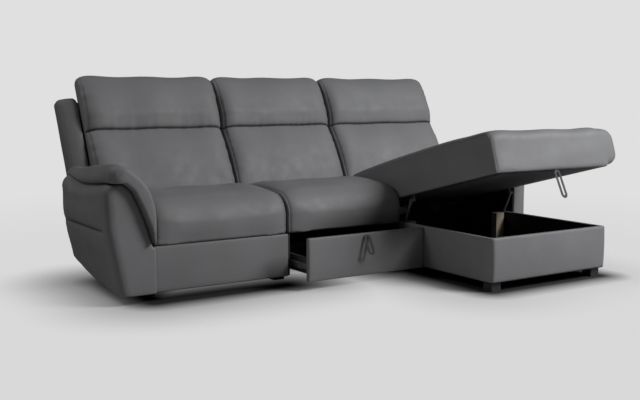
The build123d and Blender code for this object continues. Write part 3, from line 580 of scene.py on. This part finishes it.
def settle(obj, share, turns):
    # The finer cover is laid back on its solid, a little rounder at the edges, and then swells
    tree = solidUnder[obj.name]
    for turn in range(turns):
        points = pointsOf(obj)
        for index, point in enumerate(points):
            points[index] += (np.array(tree.find_nearest(point)[0]) - point) * share
        movePoints(obj, points)
        relax(obj, stuffing["relaxed"])
    swell = np.empty(len(points) * 3, np.float32)
    obj.data.attributes["swell"].data.foreach_get("vector", swell)
    movePoints(obj, pointsOf(obj) + swell.reshape(-1, 3))
    obj.data.attributes.remove(obj.data.attributes["swell"])


def dress(obj, held, cap, share=0.9, turns=1):
    stuff(obj, held, cap)
    finer(obj, stuffing["finer"])
    settle(obj, share, turns)


def hump(distance, width):
    return np.exp(-((distance / width) ** 2))


def ramp(value, start, run):
    return np.clip((value - start) / run, 0, 1)


def eased(share):
    return share * share * (3 - 2 * share)


lumpWaves = {"count": 7, "shortest": 0.7, "longest": 1.6}
puckerWaves = {"count": 5, "shortest": 0.6, "longest": 1.7}


def lumps(points, pitch, seed):
    # Gentle unevenness: a few waves in seeded directions
    random = np.random.default_rng(seed)
    total = np.zeros(len(points))
    for wave in range(lumpWaves["count"]):
        direction = random.normal(size=3)
        direction /= np.linalg.norm(direction)
        length = pitch * random.uniform(lumpWaves["shortest"], lumpWaves["longest"])
        total += np.sin(points @ direction * 2 * math.pi / length + random.uniform(0, 2 * math.pi))
    return total / lumpWaves["count"] ** 0.5


def puckers(along, pitch, seed):
    # Gathers beside a seam: waves along it
    random = np.random.default_rng(seed)
    total = np.zeros(len(along))
    for wave in range(puckerWaves["count"]):
        length = pitch * random.uniform(puckerWaves["shortest"], puckerWaves["longest"])
        total += np.sin(along * 2 * math.pi / length + random.uniform(0, 2 * math.pi))
    return total / puckerWaves["count"] ** 0.5


# Stores how much painted shade darkens the leather along seams, creases, folds and joins
def paintSeamShade(obj, amount):
    seam = obj.data.attributes.new("seam", "FLOAT", "POINT")
    seam.data.foreach_set("value", np.clip(amount, 0, 1).astype(np.float32))


def finishSoft(obj, nodes, body, place=None, finish=greyLeather):
    if place is not None:
        obj.data.transform(place)
    for face in obj.data.polygons:
        face.use_smooth = True
    obj.data.materials.clear()
    obj.data.materials.append(finish)
    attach(obj, body)
    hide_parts(*nodes)
    print("soft piece:", obj.name, len(obj.data.polygons), "faces")


# Frames of the leaning back and of the raised lid, from the solids' driving sizes
backFrame = {"foot": (0.0, 0.455, 0.437), "lean": 26.0}
lidFrame = {"hinge": (0.0, 0.415, 0.262), "open": 14.3}


def frameMatrix(origin, across, along, out):
    matrix = Matrix.Identity(4)
    for column, axis in enumerate((across, along, out)):
        for line in range(3):
            matrix[line][column] = axis[line]
    for line in range(3):
        matrix[line][3] = origin[line]
    return matrix


lean = math.radians(backFrame["lean"])
backPlace = frameMatrix(
    backFrame["foot"],
    (1, 0, 0),
    (0, math.sin(lean), math.cos(lean)),
    (0, -math.cos(lean), math.sin(lean)),
)
lift = math.radians(lidFrame["open"])
lidPlace = frameMatrix(
    lidFrame["hinge"],
    (1, 0, 0),
    (0, math.cos(lift), -math.sin(lift)),
    (0, math.sin(lift), math.cos(lift)),
)


# Seat cushions: crowned top, rolled front, border seams beside the ends
seat = {
    "voxel": 0.015,
    "cap": 0.006,
    "gap": 0.003,
    "border": 0.013,
    "seamWidth": 0.004,
    "seamDepth": 0.003,
    "seamShade": 0.6,
    "puckerPitch": 0.045,
    "puckerDepth": 0.0007,
    "puckerReach": 0.030,
    "lumpPitch": 0.24,
    "lumpDepth": 0.0007,
}
endClear = 0.0005
asideLoss = 0.6


def drawIn(points, low, high, gap):
    # Pulls both ends in, which leaves a dark line between neighbours
    middle = (low + high) / 2
    points[:, 0] = middle + (points[:, 0] - middle) * (1 - 2 * gap / (high - low))


def borderSeams(points, low, high, border):
    # Distance from the nearer end's border seam
    return np.minimum(points[:, 0] - low, high - points[:, 0]) - border


def facesOut(normals):
    # Full on the faces that are looked at, less where they turn to the ends
    return np.clip(1.0 - np.abs(normals[:, 0]) * asideLoss, 0, 1)


def makeSeat(node, name, seed):
    low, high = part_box(node)
    obj = softCopy([node], name, seat["voxel"], 1)
    normals = normalsOf(obj)
    held = (normals[:, 2] < -0.5) | (normals[:, 1] > 0.6) | (np.abs(normals[:, 0]) > 0.5)
    dress(obj, held, seat["cap"])
    points, normals = pointsOf(obj), normalsOf(obj)
    drawIn(points, low.x, high.x, seat["gap"])
    edge = borderSeams(points, low.x, high.x, seat["border"])
    shown = facesOut(normals) * (normals[:, 2] > -0.6)
    seam = hump(edge, seat["seamWidth"]) * shown
    profile = points[:, 1] - points[:, 2]
    gather = puckers(profile, seat["puckerPitch"], seed)
    gather = gather * np.exp(-np.abs(edge) / seat["puckerReach"]) * shown
    rise = gather * seat["puckerDepth"] - seam * seat["seamDepth"]
    rise += lumps(points, seat["lumpPitch"], seed + 1) * seat["lumpDepth"] * shown
    points += normals * rise[:, None]
    points[:, 0] = np.clip(points[:, 0], low.x + endClear, high.x - endClear)
    movePoints(obj, points)
    paintSeamShade(obj, seat["seamShade"] * seam)
    finishSoft(obj, [node], "sofa_frame")
    return obj


seatLeft = makeSeat("seat_cushion_left", "seatCushionLeft", 11)
seatMiddle = makeSeat("seat_cushion_middle", "seatCushionMiddle", 17)


# Back cushions: lumbar roll, sewn crease and a head roll that hangs over it
back = {
    "voxel": 0.0165,
    "cap": 0.006,
    "gap": 0.002,
    "crease": 0.345,
    "creaseHeld": 0.010,
    "creaseWidth": 0.007,
    "creaseDepth": 0.013,
    "creaseShade": 0.9,
    "overhang": 0.016,
    "overhangAbove": 0.018,
    "overhangReach": 0.020,
    "rollRise": 0.010,
    "rollAbove": 0.055,
    "rollReach": 0.045,
    "border": 0.013,
    "seamWidth": 0.004,
    "seamDepth": 0.002,
    "seamShade": 0.4,
    "creasePitch": 0.060,
    "borderPitch": 0.055,
    "puckerDepth": 0.0009,
    "puckerReach": 0.030,
    "lumpPitch": 0.22,
    "lumpDepth": 0.0007,
}


def makeBack(node, name, seed):
    obj = softCopy([node], name, back["voxel"], 1, backPlace)
    points, normals = pointsOf(obj), normalsOf(obj)
    low, high = points.min(0), points.max(0)
    held = (normals[:, 2] < -0.5) | (np.abs(normals[:, 0]) > 0.5)
    held |= (normals[:, 2] > 0.2) & (np.abs(points[:, 1] - back["crease"]) < back["creaseHeld"])
    dress(obj, held, back["cap"])
    points, normals = pointsOf(obj), normalsOf(obj)
    drawIn(points, low[0], high[0], back["gap"])
    above = points[:, 1] - back["crease"]
    front = ramp(normals[:, 2], -0.1, 0.4)
    edge = borderSeams(points, low[0], high[0], back["border"])
    border = hump(edge, back["seamWidth"]) * front
    crease = hump(above, back["creaseWidth"]) * front
    points[:, 1] -= back["overhang"] * hump(above - back["overhangAbove"], back["overhangReach"]) * front
    points[:, 2] += back["rollRise"] * hump(above - back["rollAbove"], back["rollReach"]) * front
    points[:, 2] -= back["creaseDepth"] * crease
    reach = back["puckerReach"]
    gather = puckers(points[:, 0], back["creasePitch"], seed) * np.exp(-np.abs(above) / reach)
    gather += puckers(points[:, 1], back["borderPitch"], seed + 1) * np.exp(-np.abs(edge) / reach)
    rise = gather * front * back["puckerDepth"] - border * back["seamDepth"]
    rise += lumps(points, back["lumpPitch"], seed + 2) * back["lumpDepth"] * front
    points += normals * rise[:, None]
    points[:, 0] = np.clip(points[:, 0], low[0] + endClear, high[0] - endClear)
    movePoints(obj, points)
    paintSeamShade(obj, np.maximum(back["seamShade"] * border, back["creaseShade"] * crease))
    finishSoft(obj, [node], "sofa_frame", backPlace)
    return obj


backLeft = makeBack("back_cushion_left", "backCushionLeft", 23)
backMiddle = makeBack("back_cushion_middle", "backCushionMiddle", 29)
backRight = makeBack("back_cushion_right", "backCushionRight", 31)


# Chaise lid cushion, held at its edge and underside
lid = {
    "voxel": 0.022,
    "cap": 0.006,
    "edgeHeld": 0.05,
    "settled": 2,
    "relaxed": 5,
    "border": 0.016,
    "seamEnd": 0.6,
    "seamWidth": 0.005,
    "seamDepth": 0.002,
    "seamShade": 0.5,
    "lumpPitch": 0.28,
    "lumpDepth": 0.0006,
}


def makeLid():
    obj = softCopy(["lid_cushion"], "lidCushion", lid["voxel"], 1, lidPlace)
    points, normals = pointsOf(obj), normalsOf(obj)
    held = (normals[:, 2] < -0.4) | (points[:, 2] < lid["edgeHeld"]) | (normals[:, 1] > 0.6)
    dress(obj, held, lid["cap"], turns=lid["settled"])
    relax(obj, lid["relaxed"])
    points, normals = pointsOf(obj), normalsOf(obj)
    edge = borderSeams(points, points[:, 0].min(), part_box("chaise_cover")[1].x, lid["border"])
    shown = (normals[:, 2] > -0.4) * facesOut(normals)
    seam = hump(edge, lid["seamWidth"]) * shown * (points[:, 0] < lid["seamEnd"])
    rise = lumps(points, lid["lumpPitch"], 43) * lid["lumpDepth"] * shown - seam * lid["seamDepth"]
    points += normals * rise[:, None]
    movePoints(obj, points)
    paintSeamShade(obj, lid["seamShade"] * seam)
    finishSoft(obj, ["lid_cushion"], "chaise_lid", lidPlace)


makeLid()


# Left arm: its padding sinks towards the rear, most at the lip of the pad
droop = {
    "depth": 0.032,
    "start": -0.12,
    "run": 0.40,
    "endStart": 0.37,
    "endRun": 0.085,
    "still": 0.37,
    "lip": 0.53,
    "topRun": 0.09,
    "topLoss": 0.4,
    "outerStart": -1.05,
    "outerRun": 0.10,
    "innerShare": 0.35,
    "outerShare": 0.65,
}
railEdge = -1.2125


def droopOf(points, kept):
    # At the rear end a share of the droop is kept
    along = eased(ramp(points[:, 1], droop["start"], droop["run"]))
    ending = eased(ramp(points[:, 1], droop["endStart"], droop["endRun"]))
    below = eased(ramp(points[:, 2], droop["still"], droop["lip"] - droop["still"]))
    top = ramp(points[:, 2], droop["lip"], droop["topRun"])
    outer = eased(ramp(droop["outerStart"] - points[:, 0], 0.0, droop["outerRun"]))
    along *= 1 - (1 - kept) * ending
    across = droop["innerShare"] + droop["outerShare"] * outer
    return droop["depth"] * along * below * (1 - droop["topLoss"] * top) * across


# The front panel and the outer side are one cover, rounded where they meet, with a sewn fold along the side
armSide = {
    "voxel": 0.0055,
    "relaxed": 9,
    "outward": 1.5,
    "endRun": 0.10,
    "fold": 0.333,
    "foldHang": 0.010,
    "foldHangReach": 0.016,
    "foldIn": 0.013,
    "foldWidth": 0.016,
    "panelOut": 0.009,
    "upperMiddle": 0.060,
    "upperReach": 0.045,
    "lowerMiddle": 0.070,
    "lowerReach": 0.050,
    "lowerShare": 0.8,
    "puckerPitch": 0.06,
    "puckerReach": 0.03,
    "puckerDepth": 0.0008,
    "lumpPitch": 0.2,
    "lumpDepth": 0.0007,
    "recess": 0.010,
    "recessReach": 0.024,
    "railFade": 0.016,
    "droopKept": 0.0,
    "seamWidth": 0.005,
    "seamShade": 0.7,
}


def makeArmCover():
    low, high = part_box("arm_outer_cover")
    obj = softCopy(["arm_front_cover", "arm_outer_cover"], "armCover", armSide["voxel"], armSide["relaxed"])
    points, normals = pointsOf(obj), normalsOf(obj)
    outside = np.clip(-normals[:, 0] * armSide["outward"], 0, 1)
    above = points[:, 2] - armSide["fold"]
    run = armSide["endRun"]
    ends = ramp(points[:, 1], low.y, run) * ramp(high.y - points[:, 1], 0.0, run)
    fullness = np.sqrt(ends) * outside
    upper = hump(above - armSide["upperMiddle"], armSide["upperReach"])
    lower = hump(above + armSide["lowerMiddle"], armSide["lowerReach"])
    points[:, 0] -= armSide["panelOut"] * (upper + armSide["lowerShare"] * lower) * fullness
    points[:, 0] += armSide["foldIn"] * hump(above, armSide["foldWidth"]) * fullness
    hang = armSide["foldHangReach"]
    points[:, 2] -= armSide["foldHang"] * hump(above - hang, hang) * fullness
    gather = puckers(points[:, 1], armSide["puckerPitch"], 53)
    gather = gather * np.exp(-np.abs(above) / armSide["puckerReach"]) * fullness
    points[:, 0] -= gather * armSide["puckerDepth"]
    points += normals * (lumps(points, armSide["lumpPitch"], 57) * armSide["lumpDepth"])[:, None]
    points[:, 0] += armSide["recess"] * hump(points[:, 2] - high.z, armSide["recessReach"]) * fullness
    fade = armSide["railFade"]
    past = ramp(railEdge + fade / 2 - points[:, 0], 0.0, fade)
    points[:, 2] -= droopOf(points, armSide["droopKept"]) * past
    movePoints(obj, points)
    paintSeamShade(obj, armSide["seamShade"] * hump(above, armSide["seamWidth"]) * fullness)
    finishSoft(obj, ["arm_front_cover", "arm_outer_cover"], "sofa_frame")


# Pillow pad over the top of the arm, with a rim seam at the front and a lip on the outer side
armPad = {
    "voxel": 0.013,
    "cap": 0.006,
    "settled": 0.75,
    "rim": 0.026,
    "rimWidth": 0.005,
    "rimDepth": 0.003,
    "rimEnd": 0.06,
    "rimShade": 0.5,
    "lumpPitch": 0.16,
    "lumpDepth": 0.0007,
    "outward": 1.5,
    "lipStart": 0.06,
    "lipRun": 0.10,
    "lipMiddle": 0.562,
    "lipReach": 0.024,
    "lipOut": 0.008,
    "railFade": 0.010,
    "droopKept": 0.8,
}


def makeArmPad():
    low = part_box("arm_pad")[0]
    obj = softCopy(["arm_pad"], "armPad", armPad["voxel"], 2)
    normals = normalsOf(obj)
    dress(obj, (normals[:, 2] < -0.3) | (normals[:, 1] > 0.6), armPad["cap"], armPad["settled"])
    points, normals = pointsOf(obj), normalsOf(obj)
    rim = points[:, 1] - low.y - armPad["rim"]
    shown = np.clip(normals[:, 2] + 0.9, 0, 1) * (normals[:, 0] > -0.9)
    shown = shown * (points[:, 0] > low.x + armPad["rimEnd"])
    seam = hump(rim, armPad["rimWidth"]) * shown
    rise = lumps(points, armPad["lumpPitch"], 67) * armPad["lumpDepth"] * shown - seam * armPad["rimDepth"]
    points += normals * rise[:, None]
    along = ramp(points[:, 1] - low.y, armPad["lipStart"], armPad["lipRun"])
    outside = np.clip(-normals[:, 0] * armPad["outward"], 0, 1)
    lip = outside * hump(points[:, 2] - armPad["lipMiddle"], armPad["lipReach"]) * along
    points[:, 0] -= armPad["lipOut"] * lip
    overRail = np.clip((points[:, 0] - railEdge) / armPad["railFade"] + 1, 0, 1)
    inside = np.clip(-normals[:, 2] * 2, 0, 1) * overRail
    points[:, 2] -= droopOf(points, armPad["droopKept"]) * (1 - inside)
    movePoints(obj, points)
    paintSeamShade(obj, armPad["rimShade"] * seam)
    finishSoft(obj, ["arm_pad"], "sofa_frame")


makeArmCover()
makeArmPad()


# Back wing above the arm, which turns back towards its outer side; its leather is darkened as painted shade
wing = {
    "voxel": 0.013,
    "cap": 0.006,
    "lumpPitch": 0.16,
    "lumpDepth": 0.0008,
    "flat": 0.012,
    "turn": 0.040,
}


def makeWing():
    obj = softCopy(["wing_pad"], "backWing", wing["voxel"], 2, backPlace)
    normals = normalsOf(obj)
    dress(obj, (normals[:, 2] < -0.4) | (normals[:, 0] > 0.5), wing["cap"])
    points, normals = pointsOf(obj), normalsOf(obj)
    shown = np.clip(normals[:, 2] - normals[:, 0], 0, 1)
    points += normals * (lumps(points, wing["lumpPitch"], 71) * wing["lumpDepth"] * shown)[:, None]
    low, high = points.min(0), points.max(0)
    inner = high[0] - wing["flat"]
    aside = ramp(inner - points[:, 0], 0.0, inner - low[0])
    points[:, 2] -= wing["turn"] * aside ** 2 * (points[:, 2] - low[2]) / (high[2] - low[2])
    movePoints(obj, points)
    finishSoft(obj, ["wing_pad"], "sofa_frame", backPlace, wingShadedLeather)


makeWing()


# Chaise box cover: crowned front and right side, drawn in beside the drawer
chaise = {
    "voxel": 0.0048,
    "relaxed": 4,
    "faceDepth": 0.006,
    "crown": 0.004,
    "rightShare": 0.8,
    "clear": 0.001,
    "lumpPitch": 0.2,
    "lumpDepth": 0.0007,
}


def crowned(values, low, high, power=2):
    # Nothing at both ends and full in the middle
    return 1 - (2 * ramp(values, low, high - low) - 1) ** power


def makeChaiseCover():
    low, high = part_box("chaise_cover")
    obj = softCopy(["chaise_cover"], "chaiseCover", chaise["voxel"], chaise["relaxed"])
    points, normals = pointsOf(obj), normalsOf(obj)
    crown = crowned(points[:, 2], low.z, high.z)
    depth = chaise["faceDepth"]
    front = np.clip(-normals[:, 1], 0, 1) * (points[:, 1] < low.y + depth)
    left = np.clip(-normals[:, 0], 0, 1) * (points[:, 0] < low.x + depth)
    right = np.clip(normals[:, 0], 0, 1) * (points[:, 0] > high.x - depth)
    points[:, 1] -= crown * front * chaise["crown"]
    points[:, 0] += left * chaise["clear"]
    points[:, 0] += crown * right * chaise["rightShare"] * chaise["crown"]
    shown = np.maximum(front, right)
    points += normals * (lumps(points, chaise["lumpPitch"], 73) * chaise["lumpDepth"] * shown)[:, None]
    movePoints(obj, points)
    finishSoft(obj, ["chaise_cover"], "sofa_frame")


sidePanel = {
    "voxel": 0.0075,
    "relaxed": 6,
    "faceDepth": 0.02,
    "crown": 0.010,
    "lumpPitch": 0.2,
    "lumpDepth": 0.0012,
}


def makeSidePanel():
    low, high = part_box("side_panel_cover")
    obj = softCopy(["side_panel_cover"], "sidePanelCover", sidePanel["voxel"], sidePanel["relaxed"])
    points, normals = pointsOf(obj), normalsOf(obj)
    outside = np.clip(normals[:, 0], 0, 1) * (points[:, 0] > high.x - sidePanel["faceDepth"])
    crown = crowned(points[:, 1], low.y, high.y) * crowned(points[:, 2], low.z, high.z)
    points[:, 0] += crown * outside * sidePanel["crown"]
    points += normals * (lumps(points, sidePanel["lumpPitch"], 79) * sidePanel["lumpDepth"])[:, None]
    movePoints(obj, points)
    finishSoft(obj, ["side_panel_cover"], "sofa_frame")


makeChaiseCover()
makeSidePanel()


# Leather skins over the front boards: bevelled, slightly crowned wraps, open at the back
wrap = {
    "skin": 0.0026,
    "bevel": 0.007,
    "bevelSteps": 4,
    "pitch": 0.02,
    "crown": 0.0018,
    "acrossPower": 8,
    "heightPower": 4,
    "lumpPitch": 0.17,
    "lumpDepth": 0.0004,
    "relief": 0.0014,
    "reliefReach": 0.045,
}


def cutAcross(bm, axis, low, high, pitch):
    count = int((high - low) / pitch)
    for step in range(1, count):
        spot = [0.0, 0.0, 0.0]
        spot[axis] = low + (high - low) * step / count
        side = [0.0, 0.0, 0.0]
        side[axis] = 1.0
        everything = bm.verts[:] + bm.edges[:] + bm.faces[:]
        bmesh.ops.bisect_plane(bm, geom=everything, dist=meshing["cut"], plane_co=spot, plane_no=side)


def thicken(obj, thickness, offset):
    skin = obj.modifiers.new("skin", "SOLIDIFY")
    skin.thickness = thickness
    skin.offset = offset
    bakeModifiers(obj)


def makeFrontWrap(node, name, body, seed):
    low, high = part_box(node)
    bm = bmesh.new()
    bmesh.ops.create_cube(bm, size=1.0)
    bmesh.ops.scale(bm, vec=high - low, verts=bm.verts)
    bmesh.ops.translate(bm, vec=(low + high) / 2, verts=bm.verts)
    rear = [face for face in bm.faces if face.normal.y > 0.9]
    bmesh.ops.delete(bm, geom=rear, context="FACES")
    bent = [edge for edge in bm.edges if not edge.is_boundary]
    bmesh.ops.bevel(
        bm,
        geom=bent,
        offset=wrap["bevel"],
        segments=wrap["bevelSteps"],
        profile=0.5,
        affect="EDGES",
        material=-1,
    )
    for axis in (0, 2):
        cutAcross(bm, axis, low[axis], high[axis], wrap["pitch"])
    obj = addMesh(name, bm)
    points, normals = pointsOf(obj), normalsOf(obj)
    across = crowned(points[:, 0], low.x, high.x, wrap["acrossPower"])
    height = crowned(points[:, 2], low.z, high.z, wrap["heightPower"])
    front = np.clip(-normals[:, 1], 0, 1)
    crown = across * height * front
    points[:, 1] -= crown * (wrap["crown"] + lumps(points, wrap["lumpPitch"], seed) * wrap["lumpDepth"])
    points[:, 1] += front * wrap["relief"] * hump(high.z - points[:, 2], wrap["reliefReach"])
    movePoints(obj, points)
    thicken(obj, wrap["skin"], -1.0)
    finishSoft(obj, [node], body)


makeFrontWrap("front_cover", "frontWrap", "sofa_frame", 83)
makeFrontWrap("drawer_front_cover", "drawerFrontWrap", "drawer", 89)


# Rear skin with its upright joins
rearSkin = {
    "pitch": 0.05,
    "lumpPitch": 0.3,
    "lumpDepth": 0.0007,
    "joinCut": 0.01,
    "joinPitch": 0.0025,
    "joinWidth": 0.004,
    "joinDepth": 0.0012,
    "joinShade": 0.6,
    "sharp": 35,
}


def makeRearSkin():
    low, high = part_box("back_rear_cover")
    joins = [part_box(node)[0].x for node in ("seat_cushion_middle", "lid_cushion")]
    mesh = frame["nodes"]["back_rear_cover"].data.copy()
    bm = bmesh.new()
    bm.from_mesh(mesh)
    bmesh.ops.remove_doubles(bm, verts=bm.verts, dist=meshing["weld"])
    cutAcross(bm, 0, low.x, high.x, rearSkin["pitch"])
    cutAcross(bm, 2, low.z, high.z, rearSkin["pitch"])
    for join in joins:
        cutAcross(bm, 0, join - rearSkin["joinCut"], join + rearSkin["joinCut"], rearSkin["joinPitch"])
    bm.to_mesh(mesh)
    bm.free()
    obj = addObject("rearSkin", mesh)
    points, normals = pointsOf(obj), normalsOf(obj)
    outside = np.clip(normals[:, 1], 0, 1)
    seam = np.zeros(len(points))
    for join in joins:
        seam = np.maximum(seam, hump(points[:, 0] - join, rearSkin["joinWidth"]))
    lump = lumps(points, rearSkin["lumpPitch"], 97) - 1.0
    rise = lump * rearSkin["lumpDepth"] - seam * rearSkin["joinDepth"]
    points += normals * (rise * outside)[:, None]
    movePoints(obj, points)
    paintSeamShade(obj, rearSkin["joinShade"] * seam * outside)
    finishSoft(obj, ["back_rear_cover"], "sofa_frame")
    mesh.set_sharp_from_angle(angle=math.radians(rearSkin["sharp"]))


# Dust cloth stretched under the lid
dustCloth = {"thick": 0.0007, "wavePitch": 0.12, "wave": 0.00025, "columns": 30, "rows": 44}


def makeDustCloth():
    node = frame["nodes"]["lid_dust_cloth"]
    corners = np.array([lidPlace.inverted() @ vertex.co for vertex in node.data.vertices])
    low, high = corners.min(0), corners.max(0)
    width, length = high[0] - low[0], high[1] - low[1]
    bm = bmesh.new()
    bmesh.ops.create_grid(bm, x_segments=dustCloth["columns"], y_segments=dustCloth["rows"], size=0.5)
    bmesh.ops.scale(bm, vec=(width, length, 1.0), verts=bm.verts)
    bmesh.ops.translate(bm, vec=(low + high) / 2, verts=bm.verts)
    obj = addMesh("dustCloth", bm)
    points = pointsOf(obj)
    points[:, 2] += lumps(points, dustCloth["wavePitch"], 101) * dustCloth["wave"] / 2
    movePoints(obj, points)
    thicken(obj, dustCloth["thick"], 0.0)
    obj.data.transform(lidPlace)
    for face in obj.data.polygons:
        face.use_smooth = True
    obj.data.materials.append(blackCloth)
    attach(obj, "chaise_lid")
    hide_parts("lid_dust_cloth")
    print("sheet:", obj.name, round(float(width), 3), round(float(length), 3))


makeRearSkin()
makeDustCloth()


# Pull loops: soft leather straps
pull = {"voxel": 0.0009, "relaxed": 4}


def makePull(node, name, body):
    obj = softCopy([node], name, pull["voxel"], pull["relaxed"])
    finishSoft(obj, [node], body, finish=strapLeather)


makePull("drawer_pull", "drawerPullStrap", "drawer_pull")
makePull("lid_pull", "lidPullStrap", "lid_pull")


# Top stitching beside the seams
thread = {
    "pitch": 0.008,
    "long": 0.0052,
    "radius": 0.00055,
    "raised": 0.5,
    "beside": 0.009,
    "belowCrease": 0.016,
    "cut": 0.000001,
    "shortest": 1e-7,
}


def seamPath(obj, spot, side, keep):
    # Points and normals along the line where a plane cuts the finished cover
    bm = bmesh.new()
    bm.from_mesh(obj.data)
    everything = bm.verts[:] + bm.edges[:] + bm.faces[:]
    cut = bmesh.ops.bisect_plane(bm, geom=everything, dist=thread["cut"], plane_co=spot, plane_no=side)
    links = {}
    for piece in cut["geom_cut"]:
        if isinstance(piece, bmesh.types.BMEdge):
            first, second = piece.verts
            if keep(first.co, first.normal) and keep(second.co, second.normal):
                links.setdefault(first, []).append(second)
                links.setdefault(second, []).append(first)
    starts = [vert for vert in links if len(links[vert]) == 1]
    best = []
    for start in starts:
        path, before, here = [start], None, start
        while True:
            onward = [vert for vert in links[here] if vert is not before]
            if not onward:
                break
            before, here = here, onward[0]
            path.append(here)
        if len(path) > len(best):
            best = path
    result = [(vert.co.copy(), vert.normal.copy()) for vert in best]
    bm.free()
    return result


def stitchAlong(name, paths, body):
    bm = bmesh.new()
    for path in paths:
        travelled, wanted = 0.0, thread["pitch"]
        for (here, out), (there, _) in zip(path, path[1:]):
            step = there - here
            length = step.length
            if length < thread["shortest"]:
                continue
            along = step / length
            while wanted <= travelled + length:
                middle = here + along * (wanted - travelled) + out * thread["radius"] * thread["raised"]
                aside = along.cross(out).normalized() * thread["radius"]
                lift = out.normalized() * thread["radius"]
                ends = [bm.verts.new(middle + along * thread["long"] / 2 * way) for way in (-1, 1)]
                ring = [bm.verts.new(middle + offset) for offset in (aside, lift, -aside, -lift)]
                for turn in range(4):
                    bm.faces.new((ends[1], ring[turn], ring[(turn + 1) % 4]))
                    bm.faces.new((ends[0], ring[(turn + 1) % 4], ring[turn]))
                wanted += thread["pitch"]
            travelled += length
    bmesh.ops.recalc_face_normals(bm, faces=bm.faces)
    obj = addMesh(name, bm)
    obj.data.materials.append(seamThread)
    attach(obj, body)
    print("stitches:", name, len(obj.data.polygons) // 8)


def endRows(obj, border, keep):
    # One row inside each end's border seam
    places = [vertex.co.x for vertex in obj.data.vertices]
    inside = border + thread["beside"]
    spots = (min(places) + inside, max(places) - inside)
    return [seamPath(obj, (spot, 0, 0), (1, 0, 0), keep) for spot in spots]


def onFace(co, normal):
    # Neither on the underside nor at the rear
    return normal.z > -0.5 and normal.y < 0.5


for cushion, name in ((seatLeft, "seatLeftStitches"), (seatMiddle, "seatMiddleStitches")):
    stitchAlong(name, endRows(cushion, seat["border"], onFace), "sofa_frame")
creaseLine = backPlace @ Vector((0, back["crease"] - thread["belowCrease"], 0))
creaseSide = backPlace.to_3x3() @ Vector((0, 1, 0))
for cushion, name in (
    (backLeft, "backLeftStitches"), (backMiddle, "backMiddleStitches"), (backRight, "backRightStitches"),
):
    rows = endRows(cushion, back["border"], onFace)
    rows.append(seamPath(cushion, creaseLine, creaseSide, onFace))
    stitchAlong(name, rows, "sofa_frame")

print("visual model done")
low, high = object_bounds()
